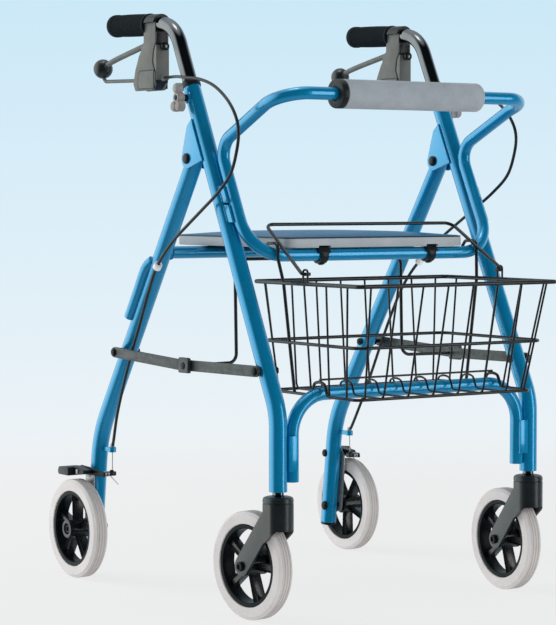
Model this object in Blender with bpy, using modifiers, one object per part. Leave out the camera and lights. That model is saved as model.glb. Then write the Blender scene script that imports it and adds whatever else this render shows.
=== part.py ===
"""Four-wheel rollator: a folding walking frame with a seat, a wire basket and loop brakes.

Metres, +Z up, -Y forward, +X to the user's left. The origin is on the floor, under the middle of
the frame. Each named object is one physical piece; the empties stand on the joint axes.
"""
import bpy
import bmesh
from math import atan2, cos, pi, radians, sin, tan
from mathutils import Matrix, Vector

SIDES = {"right": -1, "left": 1}
GAP = 0.0003
WELD = 0.00001
ARC_STEP = radians(22)
WIRE_STEP = radians(32)

# Frame tubes
LEG_X = 0.2225
LEG_R = 0.0127
FRONT_LEAN = 0.4923
FRONT_REF = (-0.022, 0.712)
FRONT_TOP_Z = 0.745
FRONT_FOOT_Y = -0.229
FRONT_FOOT_Z = 0.184
FRONT_BEND_R = 0.086
REAR_LEAN = 0.664
REAR_REF = (0.0068, 0.6103)
REAR_BEND = (0.2654, 0.2208)
REAR_BEND_R = 0.16
REAR_FOOT = (0.2857, 0.044)
REAR_OVER_PIVOT = 0.014
PIVOT = (-0.0158, 0.643)
LOOP_X = 0.2165
LOOP_R = 0.009
SEAT_RAIL = (-0.1485, 0.506)
LOOP_SHOULDER = (-0.0711, 0.6608)
LOOP_TOP = (-0.236, 0.7305)
WEB_X = (0.2258, 0.2296)
WEB_Z = ((0.5525, 0.577), (0.580, 0.6035))
CROSS_TUBE_R = 0.0095
CROSS_TUBE_X = 0.1995
CROSS_TUBE_Z = 0.316
CROSS_FOOT_Z = 0.196
REAR_RAIL_Z = 0.506
REAR_RAIL_R = 0.0092
PAD_X = (-0.133, 0.118)
PAD_R = 0.0205
BOLT_R = 0.0031
BOLT_HOLE_R = 0.0036

# Handles
TUBE_R = 0.0108
LEG_BORE_R = 0.0115
LEG_BORE = 0.175
HANDLE_INSERT = 0.115
HANDLE_BEND = (0.0415, 0.8395)
HANDLE_BEND_R = 0.055
HANDLE_END = (0.212, 0.8462)
GRIP_FRONT_Y = 0.108
GRIP_END_Y = 0.218
GRIP_R = 0.0165
GRIP_SLOPE = (HANDLE_END[1] - HANDLE_BEND[1]) / (HANDLE_END[0] - HANDLE_BEND[0])
KNOB_Z = 0.730
KNOB_X = 0.2435
KNOB_LOBES = ((0, 0.0132), (0.0062, -0.0122), (-0.0062, -0.0122))
KNOB_LOBE_R = 0.0078
LEVER_PIVOT = (0.112, 0.765)
LEVER_BALL = (0.2530, 0.7835)
LEVER_ROD_R = 0.0034
BALL_R = 0.0135

# Wheels
WHEEL_R = 0.076
TYRE_W = 0.0245
TYRE_EDGE = 0.004
TYRE_BORE_R = 0.0583
RIM_R = 0.058
RIM_BORE_R = 0.0515
RIM_W = 0.0215
HUB_R = 0.0145
SPOKES = 5
SPOKE_W = 0.0145
SPOKE_HALF = (0.0042, 0.0060)
SPOKE_TURN = {"front_right": 35, "front_left": 35, "rear_right": 18, "rear_left": 54}
WHEEL_STEPS = 28
CASTER_TRAIL = 0.0555
CASTER_YAW = {"right": radians(6.5), "left": radians(-3.5)}
STEM_R = 0.006
STEM_BORE_R = 0.0075
STEM_TOP_Z = 0.212
FORK_R = 0.0215
FORK_TOP_Z = 0.1775
FORK_LIP_Z = 0.1685
FORK_SLOT = 0.0165
FORK_SLOT_Z = 0.1355
FORK_HALF = 0.0205
FORK_BOSS_R = 0.0145
FORK_SIDE = (0.0077, 0.1129)
FRONT_HUB = 0.0155
REAR_WHEEL_X = 0.2565
REAR_HUB = (0.015, 0.020)
HUB_RECESS = (0.0085, 0.006)
REAR_AXLE = (0.2775, 0.076)
AXLE_R = 0.004
HUB_BORE_R = 0.0047

# Locking linkage
FRONT_BRACE = (-0.201, 0.3485)
REAR_BRACE = (0.177, 0.354)
BRACE_JOINT = (-0.0235, 0.346)
FRONT_STRAP_X = (0.2382, 0.2432)
REAR_STRAP_X = (0.2440, 0.2490)
STRAP_H = 0.0155
ROD_R = 0.0025
ROD_X = 0.151
ROD_HEEL = (-0.0125, 0.346)
ROD_TOP = (-0.0085, 0.497)

# Seat
SEAT_X = 0.157
SEAT_Y = (-0.160, 0.150)
SEAT_EDGE_Z = 0.5315
SEAT_BOTTOM_Z = 0.5160
SEAT_CROWN = 0.826
BOARD_X = 0.150
BOARD_Y = (SEAT_Y[0] + 0.009, SEAT_Y[1] - 0.007)
BOARD_BOTTOM_Z = 0.5156
BOARD_TOP_Z = 0.5215
CLIP_X = 0.096
CLIP_HALF = 0.010
CLIP_R = 0.0128
CLIP_RECESS_Z = 0.5192

# Basket: half width, front and rear of each ring, with its height
RIM_RING = (0.1725, -0.350, -0.093, 0.468)
FLOOR_RING = (0.1535, -0.317, -0.106, 0.3125)
MID_RING_Z = 0.384
RIM_WIRE_R = 0.003
MID_WIRE_R = 0.0024
FLOOR_WIRE_R = 0.00225
THIN_WIRE_R = 0.0015
LONG_WIRES_X = (0.0217, 0.065, 0.108)
SIDE_WIRES_Y = (-0.120, -0.2185, -0.272, -0.322)
HOOK_Y = -0.168
HOOK_X = 0.1775
HUMP_Z = 0.335
BAIL_FOOT = (0.1780, -0.222, 0.4815)
BAIL_TOP = (0.1667, -0.113, 0.549)
BAIL_R = 0.0025

# Cable of one side: (outward x, y, z) points from the brake housing to the stop on the rear leg
CABLE_R = 0.0023
CABLE_ROUTE = (
    (0.2225, 0.0708, 0.7627), (0.2232, 0.0600, 0.7627), (0.2305, 0.0350, 0.7622),
    (0.2380, 0.0080, 0.7612), (0.2410, -0.0150, 0.7592), (0.2425, -0.0600, 0.7545),
    (0.2440, -0.1000, 0.7435),
    (0.2455, -0.1357, 0.7237), (0.2465, -0.1585, 0.7010), (0.2470, -0.1675, 0.6780),
    (0.2472, -0.1628, 0.6510), (0.2472, -0.1470, 0.6200), (0.2465, -0.1126, 0.5937),
    (0.2460, -0.0700, 0.5695), (0.2455, -0.0300, 0.5475), (0.2450, 0.0060, 0.5270),
    (0.2435, 0.0420, 0.5020), (0.2400, 0.0700, 0.4790), (0.2365, 0.0900, 0.4560),
    (0.2345, 0.1060, 0.4330), (0.2335, 0.1191, 0.4110), (0.2330, 0.1310, 0.3900),
    (0.2328, 0.1500, 0.3560), (0.2322, 0.1750, 0.3080), (0.2300, 0.2000, 0.2580),
    (0.2255, 0.2190, 0.2180), (0.2240, 0.2248, 0.2072),
)
CABLE_STOP = (0.2235, 0.227, 0.200)
BRAKE_PIVOT = (0.2775, 0.1635)


def clear_scene():
    for scene_object in list(bpy.data.objects):
        bpy.data.objects.remove(scene_object, do_unlink=True)


def new_collection(name):
    made = bpy.data.collections.new(name)
    bpy.context.scene.collection.children.link(made)
    return made


def new_material(name, colour, roughness, metallic=0.0):
    made = bpy.data.materials.new(name)
    made.use_nodes = True
    shader = made.node_tree.nodes["Principled BSDF"]
    shader.inputs["Base Color"].default_value = (*colour, 1.0)
    shader.inputs["Roughness"].default_value = roughness
    shader.inputs["Metallic"].default_value = metallic
    return made


clear_scene()
PARTS = new_collection("four_wheel_rollator")
CUTTERS = new_collection("cutters")
BLUE = new_material("blue_enamel", (0.010, 0.240, 0.520), 0.3, 0.3)
CHROME = new_material("chrome", (0.75, 0.75, 0.76), 0.1, 1.0)
STEEL = new_material("grey_steel", (0.22, 0.24, 0.25), 0.4, 0.8)
BLACK = new_material("black_plastic", (0.015, 0.016, 0.018), 0.45)
GREY = new_material("grey_plastic", (0.13, 0.14, 0.145), 0.5)
WIRE = new_material("black_wire", (0.02, 0.02, 0.022), 0.35, 0.3)
FOAM = new_material("grey_foam", (0.11, 0.115, 0.125), 0.9)
VINYL = new_material("seat_vinyl", (0.06, 0.10, 0.14), 0.5)
TYRE = new_material("grey_rubber", (0.56, 0.54, 0.55), 0.75)


def point(x, yz):
    return Vector((x, yz[0], yz[1]))


def front_leg_y(z):
    return FRONT_REF[0] - FRONT_LEAN * (FRONT_REF[1] - z)


def rear_leg_y(z):
    return REAR_REF[0] + REAR_LEAN * (REAR_REF[1] - z)


FRONT_DIR = Vector((0, FRONT_LEAN, 1)).normalized()
REAR_DIR = Vector((0, -REAR_LEAN, 1)).normalized()


def keep(obj, material):
    """Put a finished piece in the object's collection with its material."""
    for old in list(obj.users_collection):
        old.objects.unlink(obj)
    PARTS.objects.link(obj)
    obj.data.materials.clear()
    obj.data.materials.append(material)
    return obj


def hide(obj):
    """Put a helper that only cuts or joins in the cutters' collection."""
    for old in list(obj.users_collection):
        old.objects.unlink(obj)
    CUTTERS.objects.link(obj)
    obj.hide_render = True
    obj.display_type = "WIRE"
    return obj


def boolean(obj, helper, operation):
    step = obj.modifiers.new(helper.name, "BOOLEAN")
    step.operation = operation
    step.solver = "EXACT"
    step.object = hide(helper)
    return obj


def cut(obj, *helpers):
    for helper in helpers:
        boolean(obj, helper, "DIFFERENCE")
    return obj


def join(obj, *helpers):
    for helper in helpers:
        boolean(obj, helper, "UNION")
    return obj


def rounded_path(corners, closed=False, arc_step=ARC_STEP):
    """Points through corners, each given as (point, bend radius), with arcs at the bends."""
    points = []
    count = len(corners)
    for i, (corner, radius) in enumerate(corners):
        corner = Vector(corner)
        if not radius or (not closed and i in (0, count - 1)):
            points.append(corner)
            continue
        before = (Vector(corners[i - 1][0]) - corner).normalized()
        after = (Vector(corners[(i + 1) % count][0]) - corner).normalized()
        turn = pi - before.angle(after)
        reach = radius * tan(turn / 2)
        centre = corner + (before + after).normalized() * (reach**2 + radius**2) ** 0.5
        spoke = corner + before * reach - centre
        axis = before.cross(after).normalized()
        steps = max(2, round(turn / arc_step))
        for k in range(steps + 1):
            points.append(centre + Matrix.Rotation(-turn * k / steps, 3, axis) @ spoke)
    return points


def smooth_path(knots, spacing):
    """Points at even steps along a Catmull-Rom curve through the knots."""
    knots = [Vector(k) for k in knots]
    dense = []
    for i in range(len(knots) - 1):
        a = knots[max(i - 1, 0)]
        b = knots[i]
        c = knots[i + 1]
        d = knots[min(i + 2, len(knots) - 1)]
        for k in range(20):
            t = k / 20
            dense.append(0.5 * (2 * b + (c - a) * t + (2 * a - 5 * b + 4 * c - d) * t**2
                                + (3 * b - a - 3 * c + d) * t**3))
    dense.append(knots[-1])
    length = sum((q - p).length for p, q in zip(dense, dense[1:]))
    count = round(length / spacing)
    points = [dense[0]]
    walked = 0.0
    for p, q in zip(dense, dense[1:]):
        walked += (q - p).length
        if walked >= length * len(points) / count and len(points) < count:
            points.append(q)
    points.append(dense[-1])
    return points


def move_into(frame, objects):
    """Carry objects built round the origin into a wheel's or caster's own place."""
    bpy.context.view_layer.update()
    for obj in objects:
        obj.matrix_world = frame @ obj.matrix_world


def tube(name, points, radius, sides, closed=False):
    """A round bar or wire along points: a poly curve with a bevel and filled ends."""
    curve = bpy.data.curves.new(name, "CURVE")
    curve.dimensions = "3D"
    curve.bevel_depth = radius
    curve.bevel_resolution = (sides - 4) // 2
    curve.use_fill_caps = True
    spline = curve.splines.new("POLY")
    spline.points.add(len(points) - 1)
    for place, p in zip(spline.points, points):
        place.co = (*p, 1.0)
    spline.use_cyclic_u = closed
    obj = bpy.data.objects.new(name, curve)
    CUTTERS.objects.link(obj)
    return obj


def as_mesh(obj):
    """The same shape as a mesh object with welded ends, so that it can be cut or joined."""
    bpy.context.view_layer.update()
    evaluated = obj.evaluated_get(bpy.context.evaluated_depsgraph_get())
    mesh = bpy.data.meshes.new_from_object(evaluated)
    shape = bmesh.new()
    shape.from_mesh(mesh)
    bmesh.ops.remove_doubles(shape, verts=shape.verts, dist=WELD)
    shape.to_mesh(mesh)
    shape.free()
    name = obj.name
    made = bpy.data.objects.new(name + "_mesh", mesh)
    made.matrix_world = obj.matrix_world
    bpy.data.objects.remove(obj, do_unlink=True)
    made.name = name
    CUTTERS.objects.link(made)
    return made


def solid_tube(name, points, radius, sides, closed=False):
    return as_mesh(tube(name, points, radius, sides, closed))


def rod(name, start, end, radius, sides=16):
    """A straight cylinder between two points."""
    start = Vector(start)
    along = Vector(end) - start
    shape = bmesh.new()
    bmesh.ops.create_cone(shape, cap_ends=True, segments=sides, radius1=radius, radius2=radius,
                          depth=along.length)
    turn = along.to_track_quat("Z", "Y").to_matrix().to_4x4()
    bmesh.ops.transform(shape, matrix=turn, verts=shape.verts)
    return from_bmesh(name, shape, start + along / 2)


def block(name, low, high):
    low = Vector(low)
    high = Vector(high)
    shape = bmesh.new()
    bmesh.ops.create_cube(shape, size=1.0)
    bmesh.ops.scale(shape, vec=high - low, verts=shape.verts)
    return from_bmesh(name, shape, (low + high) / 2)


def ball(name, centre, radius, rings=6):
    shape = bmesh.new()
    bmesh.ops.create_uvsphere(shape, u_segments=2 * rings, v_segments=rings, radius=radius)
    return from_bmesh(name, shape, centre)


def from_bmesh(name, shape, location):
    mesh = bpy.data.meshes.new(name)
    shape.to_mesh(mesh)
    shape.free()
    obj = bpy.data.objects.new(name, mesh)
    obj.location = location
    CUTTERS.objects.link(obj)
    return obj


def plate(name, outline, x_low, x_high):
    """A flat outline of (y, z) points, extruded along X between two x values."""
    curve = bpy.data.curves.new(name, "CURVE")
    curve.dimensions = "2D"
    curve.fill_mode = "BOTH"
    curve.extrude = abs(x_high - x_low) / 2
    spline = curve.splines.new("POLY")
    spline.points.add(len(outline) - 1)
    for place, (y, z) in zip(spline.points, outline):
        place.co = (y, z, 0.0, 1.0)
    spline.use_cyclic_u = True
    obj = bpy.data.objects.new(name, curve)
    obj.matrix_world = Matrix(((0, 0, 1, (x_low + x_high) / 2), (1, 0, 0, 0), (0, 1, 0, 0),
                               (0, 0, 0, 1)))
    CUTTERS.objects.link(obj)
    return as_mesh(obj)


def turned(name, profile, steps, location, yaw=0.0):
    """A ring turned about a wheel's axle: profile points are (radius, width position)."""
    mesh = bpy.data.meshes.new(name)
    shape = bmesh.new()
    verts = [shape.verts.new((r, 0, w)) for r, w in profile]
    for a, b in zip(verts, verts[1:] + verts[:1]):
        shape.edges.new((a, b))
    shape.to_mesh(mesh)
    shape.free()
    obj = bpy.data.objects.new(name, mesh)
    CUTTERS.objects.link(obj)
    screw = obj.modifiers.new("turn", "SCREW")
    screw.axis = "Z"
    screw.angle = 2 * pi
    screw.steps = steps
    screw.render_steps = steps
    screw.use_merge_vertices = True
    screw.merge_threshold = WELD
    obj.location = location
    obj.rotation_euler = (0, pi / 2, yaw)
    return obj


def arc(centre, radius, start, end, steps):
    """Points of a flat arc, angles in degrees from +Y towards +Z."""
    angles = [radians(start + (end - start) * k / steps) for k in range(steps + 1)]
    return [(centre[0] + radius * cos(a), centre[1] + radius * sin(a)) for a in angles]


def shifted(yz, direction, along, across=0.0):
    """A (y, z) point moved along a direction and square to it, towards the rear."""
    return (yz[0] + direction.y * along + direction.z * across,
            yz[1] + direction.z * along - direction.y * across)


def front_leg(side, s):
    top = point(s * LEG_X, (front_leg_y(FRONT_TOP_Z), FRONT_TOP_Z))
    bend_z = FRONT_REF[1] - (FRONT_REF[0] - FRONT_FOOT_Y) / FRONT_LEAN
    bend = point(s * LEG_X, (FRONT_FOOT_Y, bend_z))
    foot = point(s * LEG_X, (FRONT_FOOT_Y, FRONT_FOOT_Z))
    path = rounded_path([(top, 0), (bend, FRONT_BEND_R), (foot, 0)])
    leg = solid_tube("front_leg_" + side, path, LEG_R, 16)
    bore = rod("handle_bore", top - FRONT_DIR * LEG_BORE, top + FRONT_DIR * 0.01, LEG_BORE_R)
    stem = rod("stem_bore", foot - Vector((0, 0, 0.01)), foot + Vector((0, 0, 0.035)), STEM_BORE_R)
    knob = point(0, (front_leg_y(KNOB_Z), KNOB_Z))
    brace = point(0, FRONT_BRACE)
    outward = Vector((s, 0, 0))
    knob_hole = rod("knob_hole", knob + outward * LEG_X, knob + outward * 0.245, BOLT_HOLE_R, 8)
    brace_hole = rod("brace_hole", brace + outward * 0.2, brace + outward * 0.245, BOLT_HOLE_R, 8)
    for low, high in WEB_Z:
        join(leg, plate("loop_web", loop_web_outline(low, high), s * WEB_X[0], s * WEB_X[1]))
    return keep(cut(leg, bore, stem, knob_hole, brace_hole), BLUE)


def loop_web_outline(low, high):
    """A web from the leg's axis to the axis of the loop's side tube, outside both."""
    return ((front_leg_y(low), low), (front_leg_y(high), high),
            (loop_side_y(high), high), (loop_side_y(low), low))


def loop_side_y(z):
    slope = (LOOP_SHOULDER[0] - SEAT_RAIL[0]) / (LOOP_SHOULDER[1] - SEAT_RAIL[1])
    return SEAT_RAIL[0] + slope * (z - SEAT_RAIL[1])


def seat_back_loop():
    """Seat rail, two sides and backrest bar bent from one tube."""
    def side(s):
        return [((s * LOOP_X, *SEAT_RAIL), 0.055), ((s * LOOP_X, *LOOP_SHOULDER), 0.03),
                ((s * LOOP_X, -0.190, 0.7165), 0.05), ((s * LOOP_X, *LOOP_TOP), 0.042)]
    corners = side(1) + side(-1)[::-1]
    return keep(tube("seat_back_loop", rounded_path(corners, True), LOOP_R, 10, True), BLUE)


def lower_cross_tube():
    """An inverted U between the leg feet, with a weld plate to each leg."""
    ends = [((s * CROSS_TUBE_X, FRONT_FOOT_Y, CROSS_FOOT_Z), 0) for s in (-1, 1)]
    tops = [((s * CROSS_TUBE_X, FRONT_FOOT_Y, CROSS_TUBE_Z), 0.055) for s in (-1, 1)]
    path = rounded_path([ends[0], tops[0], tops[1], ends[1]])
    cross = solid_tube("lower_cross_tube", path, CROSS_TUBE_R, 12)
    inner = LEG_X - LEG_R - GAP
    half_depth = 0.0065
    for s in (-1, 1):
        low_x, high_x = sorted((s * (CROSS_TUBE_X + 0.003), s * inner))
        join(cross, block("weld_plate", (low_x, FRONT_FOOT_Y - half_depth, 0.212),
                          (high_x, FRONT_FOOT_Y + half_depth, 0.258)))
    return keep(cross, BLUE)


def backrest_pad():
    """A foam sleeve on the backrest bar."""
    pad = rod("backrest_pad", (PAD_X[0], *LOOP_TOP), (PAD_X[1], *LOOP_TOP), PAD_R, 24)
    bore = rod("pad_bore", (PAD_X[0] - 0.01, *LOOP_TOP), (PAD_X[1] + 0.01, *LOOP_TOP),
               LOOP_R + 2 * GAP)
    return keep(cut(pad, bore), FOAM)


def pivot_gusset(side, s):
    """Channel behind the leg: two cheeks beside the leg, joined by a web between the tubes."""
    upper = (front_leg_y(0.700), 0.700)
    lower = (front_leg_y(0.640), 0.640)
    outline = [upper, shifted(upper, FRONT_DIR, -0.004, 0.0155)]
    outline += arc(PIVOT, 0.0145, 20, -110, 6)
    outline.append(lower)
    low_x, high_x = sorted((s * 0.207, s * 0.238))
    gusset = plate("pivot_gusset_" + side, outline, low_x, high_x)
    start = point(s * LEG_X, upper) + FRONT_DIR * 0.05
    end = point(s * LEG_X, lower) - FRONT_DIR * 0.05
    leg_gap = rod("leg_gap", start, end, LEG_R + 2 * GAP, 24)
    web = 0.0163
    inside = [shifted(upper, FRONT_DIR, -0.004, web), shifted(upper, FRONT_DIR, 0.02, 0.05),
              shifted(lower, FRONT_DIR, -0.03, 0.07), shifted(lower, FRONT_DIR, -0.03, web)]
    inner_x, outer_x = sorted((s * (LEG_X - LEG_R - 2 * GAP), s * (LEG_X + LEG_R + 2 * GAP)))
    tube_gap = plate("tube_gap", inside, inner_x, outer_x)
    pivot = point(0, PIVOT)
    hole = rod("pivot_hole", pivot + Vector((s * 0.19, 0, 0)), pivot + Vector((s * 0.25, 0, 0)),
               0.0046)
    return keep(cut(gusset, leg_gap, tube_gap, hole), BLUE)


def bolt(name, yz, s, inner_x, outer_x, radius, head_r, head_h, nut_h):
    """A bolt along X with its head outside and its nut inside; inner_x and outer_x are the faces."""
    def at(x):
        return Vector((s * x, yz[0], yz[1]))
    shank = rod(name, at(inner_x - nut_h / 2), at(outer_x + head_h / 2), radius, 8)
    head = rod("head", at(outer_x + GAP), at(outer_x + GAP + head_h), head_r, 10)
    nut = rod("nut", at(inner_x - GAP - nut_h), at(inner_x - GAP), head_r, 6)
    return keep(join(shank, head, nut), STEEL)


def leg_top_collar(side, s):
    top = point(s * LEG_X, (front_leg_y(FRONT_TOP_Z), FRONT_TOP_Z))
    start = top + FRONT_DIR * GAP
    end = top + FRONT_DIR * 0.010
    collar = rod("leg_top_collar_" + side, start, end, 0.0139, 24)
    bore = rod("collar_bore", start - FRONT_DIR * 0.01, end + FRONT_DIR * 0.01, LEG_BORE_R)
    return keep(cut(collar, bore), BLACK)


def rear_leg(side, s):
    """Rear leg with the lug and barrel that hold the end of the cable's sheath."""
    path = [(point(s * LEG_X, PIVOT) + REAR_DIR * REAR_OVER_PIVOT, 0),
            (point(s * LEG_X, REAR_BEND), REAR_BEND_R), (point(s * LEG_X, REAR_FOOT), 0)]
    leg = solid_tube("rear_leg_" + side, rounded_path(path), LEG_R, 16)
    stop = Vector((s * CABLE_STOP[0], *CABLE_STOP[1:]))
    barrel = rod("stop_barrel", stop - Vector((0, 0, 0.0035)), stop + Vector((0, 0, 0.0045)),
                 0.0058, 12)
    lug = block("stop_lug", stop - Vector((0.0015, 0, 0.0035)), stop + Vector((0.0015, 0.036, 0.0035)))
    join(leg, lug, barrel)
    wire_hole = rod("wire_hole", stop - Vector((0, 0, 0.02)), stop + Vector((0, 0, 0.02)), 0.0016, 8)
    holes = [wire_hole]
    for yz, radius in ((PIVOT, 0.0046), (REAR_BRACE, BOLT_HOLE_R), (BRAKE_PIVOT, BOLT_HOLE_R),
                       (REAR_AXLE, HUB_BORE_R)):
        holes.append(rod("leg_hole", point(s * 0.2, yz), point(s * 0.25, yz), radius, 8))
    return keep(cut(leg, *holes), BLUE)


def rear_rail():
    place = (rear_leg_y(REAR_RAIL_Z), REAR_RAIL_Z)
    half = LEG_X - LEG_R - GAP
    return keep(rod("rear_rail", point(-half, place), point(half, place), REAR_RAIL_R), BLUE)


def cable_guard(side, s):
    """A half shell beside the rear leg, on its outer rear face."""
    out = 0.0165
    radius = 0.0085
    rearward = Vector((0, REAR_DIR.z, -REAR_DIR.y))
    aside = Vector((s * cos(radians(40)), 0, 0)) + rearward * sin(radians(40))
    start = point(s * LEG_X, (rear_leg_y(0.402), 0.402)) + aside * out
    end = point(s * LEG_X, (rear_leg_y(0.476), 0.476)) + aside * out
    tip = point(s * LEG_X, (rear_leg_y(0.490), 0.490)) + aside * (out - 0.006)
    guard = solid_tube("cable_guard_" + side, [start, end, tip], radius, 12)
    leg_gap = rod("guard_gap", point(s * LEG_X, (rear_leg_y(0.35), 0.35)),
                  point(s * LEG_X, (rear_leg_y(0.55), 0.55)), LEG_R + 2 * GAP, 24)
    return keep(cut(guard, leg_gap), BLUE)


def axle_plate(side, s):
    """A steel strip outside the rear leg that carries the axle bolt and the brake pivot."""
    outline = arc(REAR_AXLE, 0.0115, -175, 5, 6)
    outline += [(0.2850, 0.1640), (0.2815, 0.1700), (0.2680, 0.1700), (0.2595, 0.1600),
                (0.2595, 0.1500)]
    low_x, high_x = sorted((s * 0.2358, s * 0.2382))
    steel = plate("axle_plate_" + side, outline, low_x, high_x)
    head = REAR_WHEEL_X + REAR_HUB[1] - HUB_RECESS[1] + GAP
    axle = rod("axle", point(s * 0.2375, REAR_AXLE), point(s * (head + 0.002), REAR_AXLE), AXLE_R, 8)
    stub = rod("axle_stub", point(s * 0.2045, REAR_AXLE), point(s * 0.2365, REAR_AXLE), AXLE_R, 8)
    nut = rod("axle_nut", point(s * 0.2045, REAR_AXLE), point(s * 0.2092, REAR_AXLE), 0.0075, 6)
    cap = rod("axle_cap", point(s * head, REAR_AXLE), point(s * (head + 0.0042), REAR_AXLE), 0.007, 12)
    hole = rod("pivot_hole", point(s * 0.23, BRAKE_PIVOT), point(s * 0.25, BRAKE_PIVOT),
               BOLT_HOLE_R, 12)
    return keep(cut(join(steel, axle, stub, nut, cap), hole), STEEL)


def strap_outline(start, end):
    """A flat bar with round ends between two (y, z) points."""
    turn = atan2(end[1] - start[1], end[0] - start[0]) * 180 / pi
    return (arc(end, STRAP_H / 2, turn - 90, turn + 90, 5)
            + arc(start, STRAP_H / 2, turn + 90, turn + 270, 5))


def front_brace(side, s):
    low_x, high_x = sorted(s * x for x in FRONT_STRAP_X)
    strap = plate("front_brace_" + side, strap_outline(FRONT_BRACE, BRACE_JOINT), low_x, high_x)
    holes = [rod("strap_hole", point(s * 0.23, yz), point(s * 0.25, yz), BOLT_HOLE_R, 8)
             for yz in (FRONT_BRACE, BRACE_JOINT)]
    return keep(cut(strap, *holes), STEEL)


def rear_brace(side, s):
    low_x, high_x = sorted(s * x for x in REAR_STRAP_X)
    strap = plate("rear_brace_" + side, strap_outline(REAR_BRACE, BRACE_JOINT), low_x, high_x)
    y, z = BRACE_JOINT
    knuckle = plate("knuckle", [(y - 0.013, z - 0.0105), (y + 0.013, z - 0.0105),
                                (y + 0.013, z + 0.0115), (y - 0.013, z + 0.0115)],
                    low_x, high_x)
    hole = rod("strap_hole", point(s * 0.23, REAR_BRACE), point(s * 0.26, REAR_BRACE),
               BOLT_HOLE_R, 8)
    return keep(cut(join(strap, knuckle), hole), STEEL)


def brace_bolt(name, yz, s, strap_face):
    """The bolt that a strap turns on, with the spacer that holds it off the leg."""
    turned_bolt = bolt(name, yz, s, LEG_X - LEG_R, strap_face, BOLT_R, 0.0062, 0.003, 0.004)
    spacer = rod("spacer", point(s * (LEG_X + LEG_R + GAP), yz), point(s * 0.2379, yz), 0.0065, 10)
    return join(turned_bolt, spacer)


def fold_rod():
    foot_x = FRONT_STRAP_X[1] + GAP
    half = [((foot_x, *BRACE_JOINT), 0), ((ROD_X, *ROD_HEEL), 0.014), ((ROD_X, *ROD_TOP), 0.012)]
    other = [((-x, y, z), radius) for (x, y, z), radius in half]
    path = rounded_path(half + other[::-1], False, WIRE_STEP)
    return keep(tube("fold_rod", path, ROD_R, 8), WIRE)


def seat_cushion():
    """A padded top with a crown and round corners, turned down round the edge of the board."""
    shape = bmesh.new()
    bmesh.ops.create_cube(shape, size=2.0)
    bmesh.ops.subdivide_edges(shape, edges=shape.edges, cuts=4, use_grid_fill=True)
    half = Vector((SEAT_X, (SEAT_Y[1] - SEAT_Y[0]) / 2, (SEAT_EDGE_Z - SEAT_BOTTOM_Z) / 2))
    for vert in shape.verts:
        u, v, w = vert.co
        pull = 1 - 0.045 * (u * v) ** 4
        draw = 1 - 0.012 * (1 - v**2) * abs(u) ** 8
        crown = 1 + SEAT_CROWN * (1 - u**4) * (1 - v**4) if w > 0 else 1
        vert.co = (half.x * u * pull * draw, half.y * v * pull, half.z * w * crown)
    middle = (0, sum(SEAT_Y) / 2, (SEAT_EDGE_Z + SEAT_BOTTOM_Z) / 2)
    cushion = from_bmesh("seat_cushion", shape, middle)
    edge = cushion.modifiers.new("soft_edge", "BEVEL")
    edge.width = 0.004
    edge.segments = 2
    edge.limit_method = "ANGLE"
    edge.angle_limit = radians(50)
    pocket = block("board_pocket", (-BOARD_X - GAP, BOARD_Y[0] - GAP, SEAT_BOTTOM_Z - 0.01),
                   (BOARD_X + GAP, BOARD_Y[1] + GAP, BOARD_TOP_Z + GAP))
    return keep(cut(cushion, pocket, clip_recess(-1), clip_recess(1)), VINYL)


def clip_recess(s):
    """The room for a saddle clip in the cushion's front edge and the board."""
    return block("clip_recess", (s * CLIP_X - CLIP_HALF - GAP, SEAT_Y[0] - 0.01, SEAT_BOTTOM_Z - 0.01),
                 (s * CLIP_X + CLIP_HALF + GAP, SEAT_RAIL[0] + 0.0165, CLIP_RECESS_Z))


def seat_board():
    board = block("seat_board", (-BOARD_X, BOARD_Y[0], BOARD_BOTTOM_Z), (BOARD_X, BOARD_Y[1], BOARD_TOP_Z))
    for s in (-1, 1):
        cut(board, clip_recess(s))
        for y in BOARD_Y:
            cut(board, rod("corner_cut", (s * BOARD_X, y, BOARD_BOTTOM_Z - 0.01),
                           (s * BOARD_X, y, BOARD_TOP_Z + 0.01), 0.009, 4))
    return keep(board, BLACK)


def seat_clip(side, s):
    """A saddle clip round the front rail, open at the back, screwed up into the board."""
    tab_y = SEAT_RAIL[0] + 0.016
    low, high = BOARD_BOTTOM_Z + GAP, BOARD_BOTTOM_Z + 0.0028
    outline = arc(SEAT_RAIL, CLIP_R, 90, 340, 9) + arc(SEAT_RAIL, LOOP_R + 3 * GAP, 340, 90, 9)
    outline += [(SEAT_RAIL[0], low), (tab_y, low), (tab_y, high), (SEAT_RAIL[0], high)]
    return keep(plate("seat_clip_" + side, outline, s * CLIP_X - CLIP_HALF, s * CLIP_X + CLIP_HALF), BLACK)


def ring_at(z):
    """Half width, front and rear of the basket at a height, between rim and floor."""
    t = (RIM_RING[3] - z) / (RIM_RING[3] - FLOOR_RING[3])
    return [a + (b - a) * t for a, b in zip(RIM_RING[:3], FLOOR_RING[:3])]


def ring_wire(name, z, radius, corner, sides):
    half, front, rear = ring_at(z)
    corners = [((half, front, z), corner), ((half, rear, z), corner),
               ((-half, rear, z), corner), ((-half, front, z), corner)]
    return solid_tube(name, rounded_path(corners, True, WIRE_STEP), radius, sides, True)


def hump(x):
    """Floor wire points over the lower cross tube."""
    steps = ((-0.018, FLOOR_RING[3]), (-0.011, 0.3295), (0, HUMP_Z), (0.011, 0.3295),
             (0.018, FLOOR_RING[3]))
    return [((x, FRONT_FOOT_Y + dy, z), 0) for dy, z in steps]


def floor_ring():
    half, front, rear, z = FLOOR_RING
    corners = [((half, rear, z), 0.012)] + hump(half)[::-1] + [((half, front, z), 0.012)]
    corners += [((-half, front, z), 0.012)] + hump(-half) + [((-half, rear, z), 0.012)]
    return solid_tube("floor_ring", rounded_path(corners, True, WIRE_STEP), FLOOR_WIRE_R, 6, True)


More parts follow.
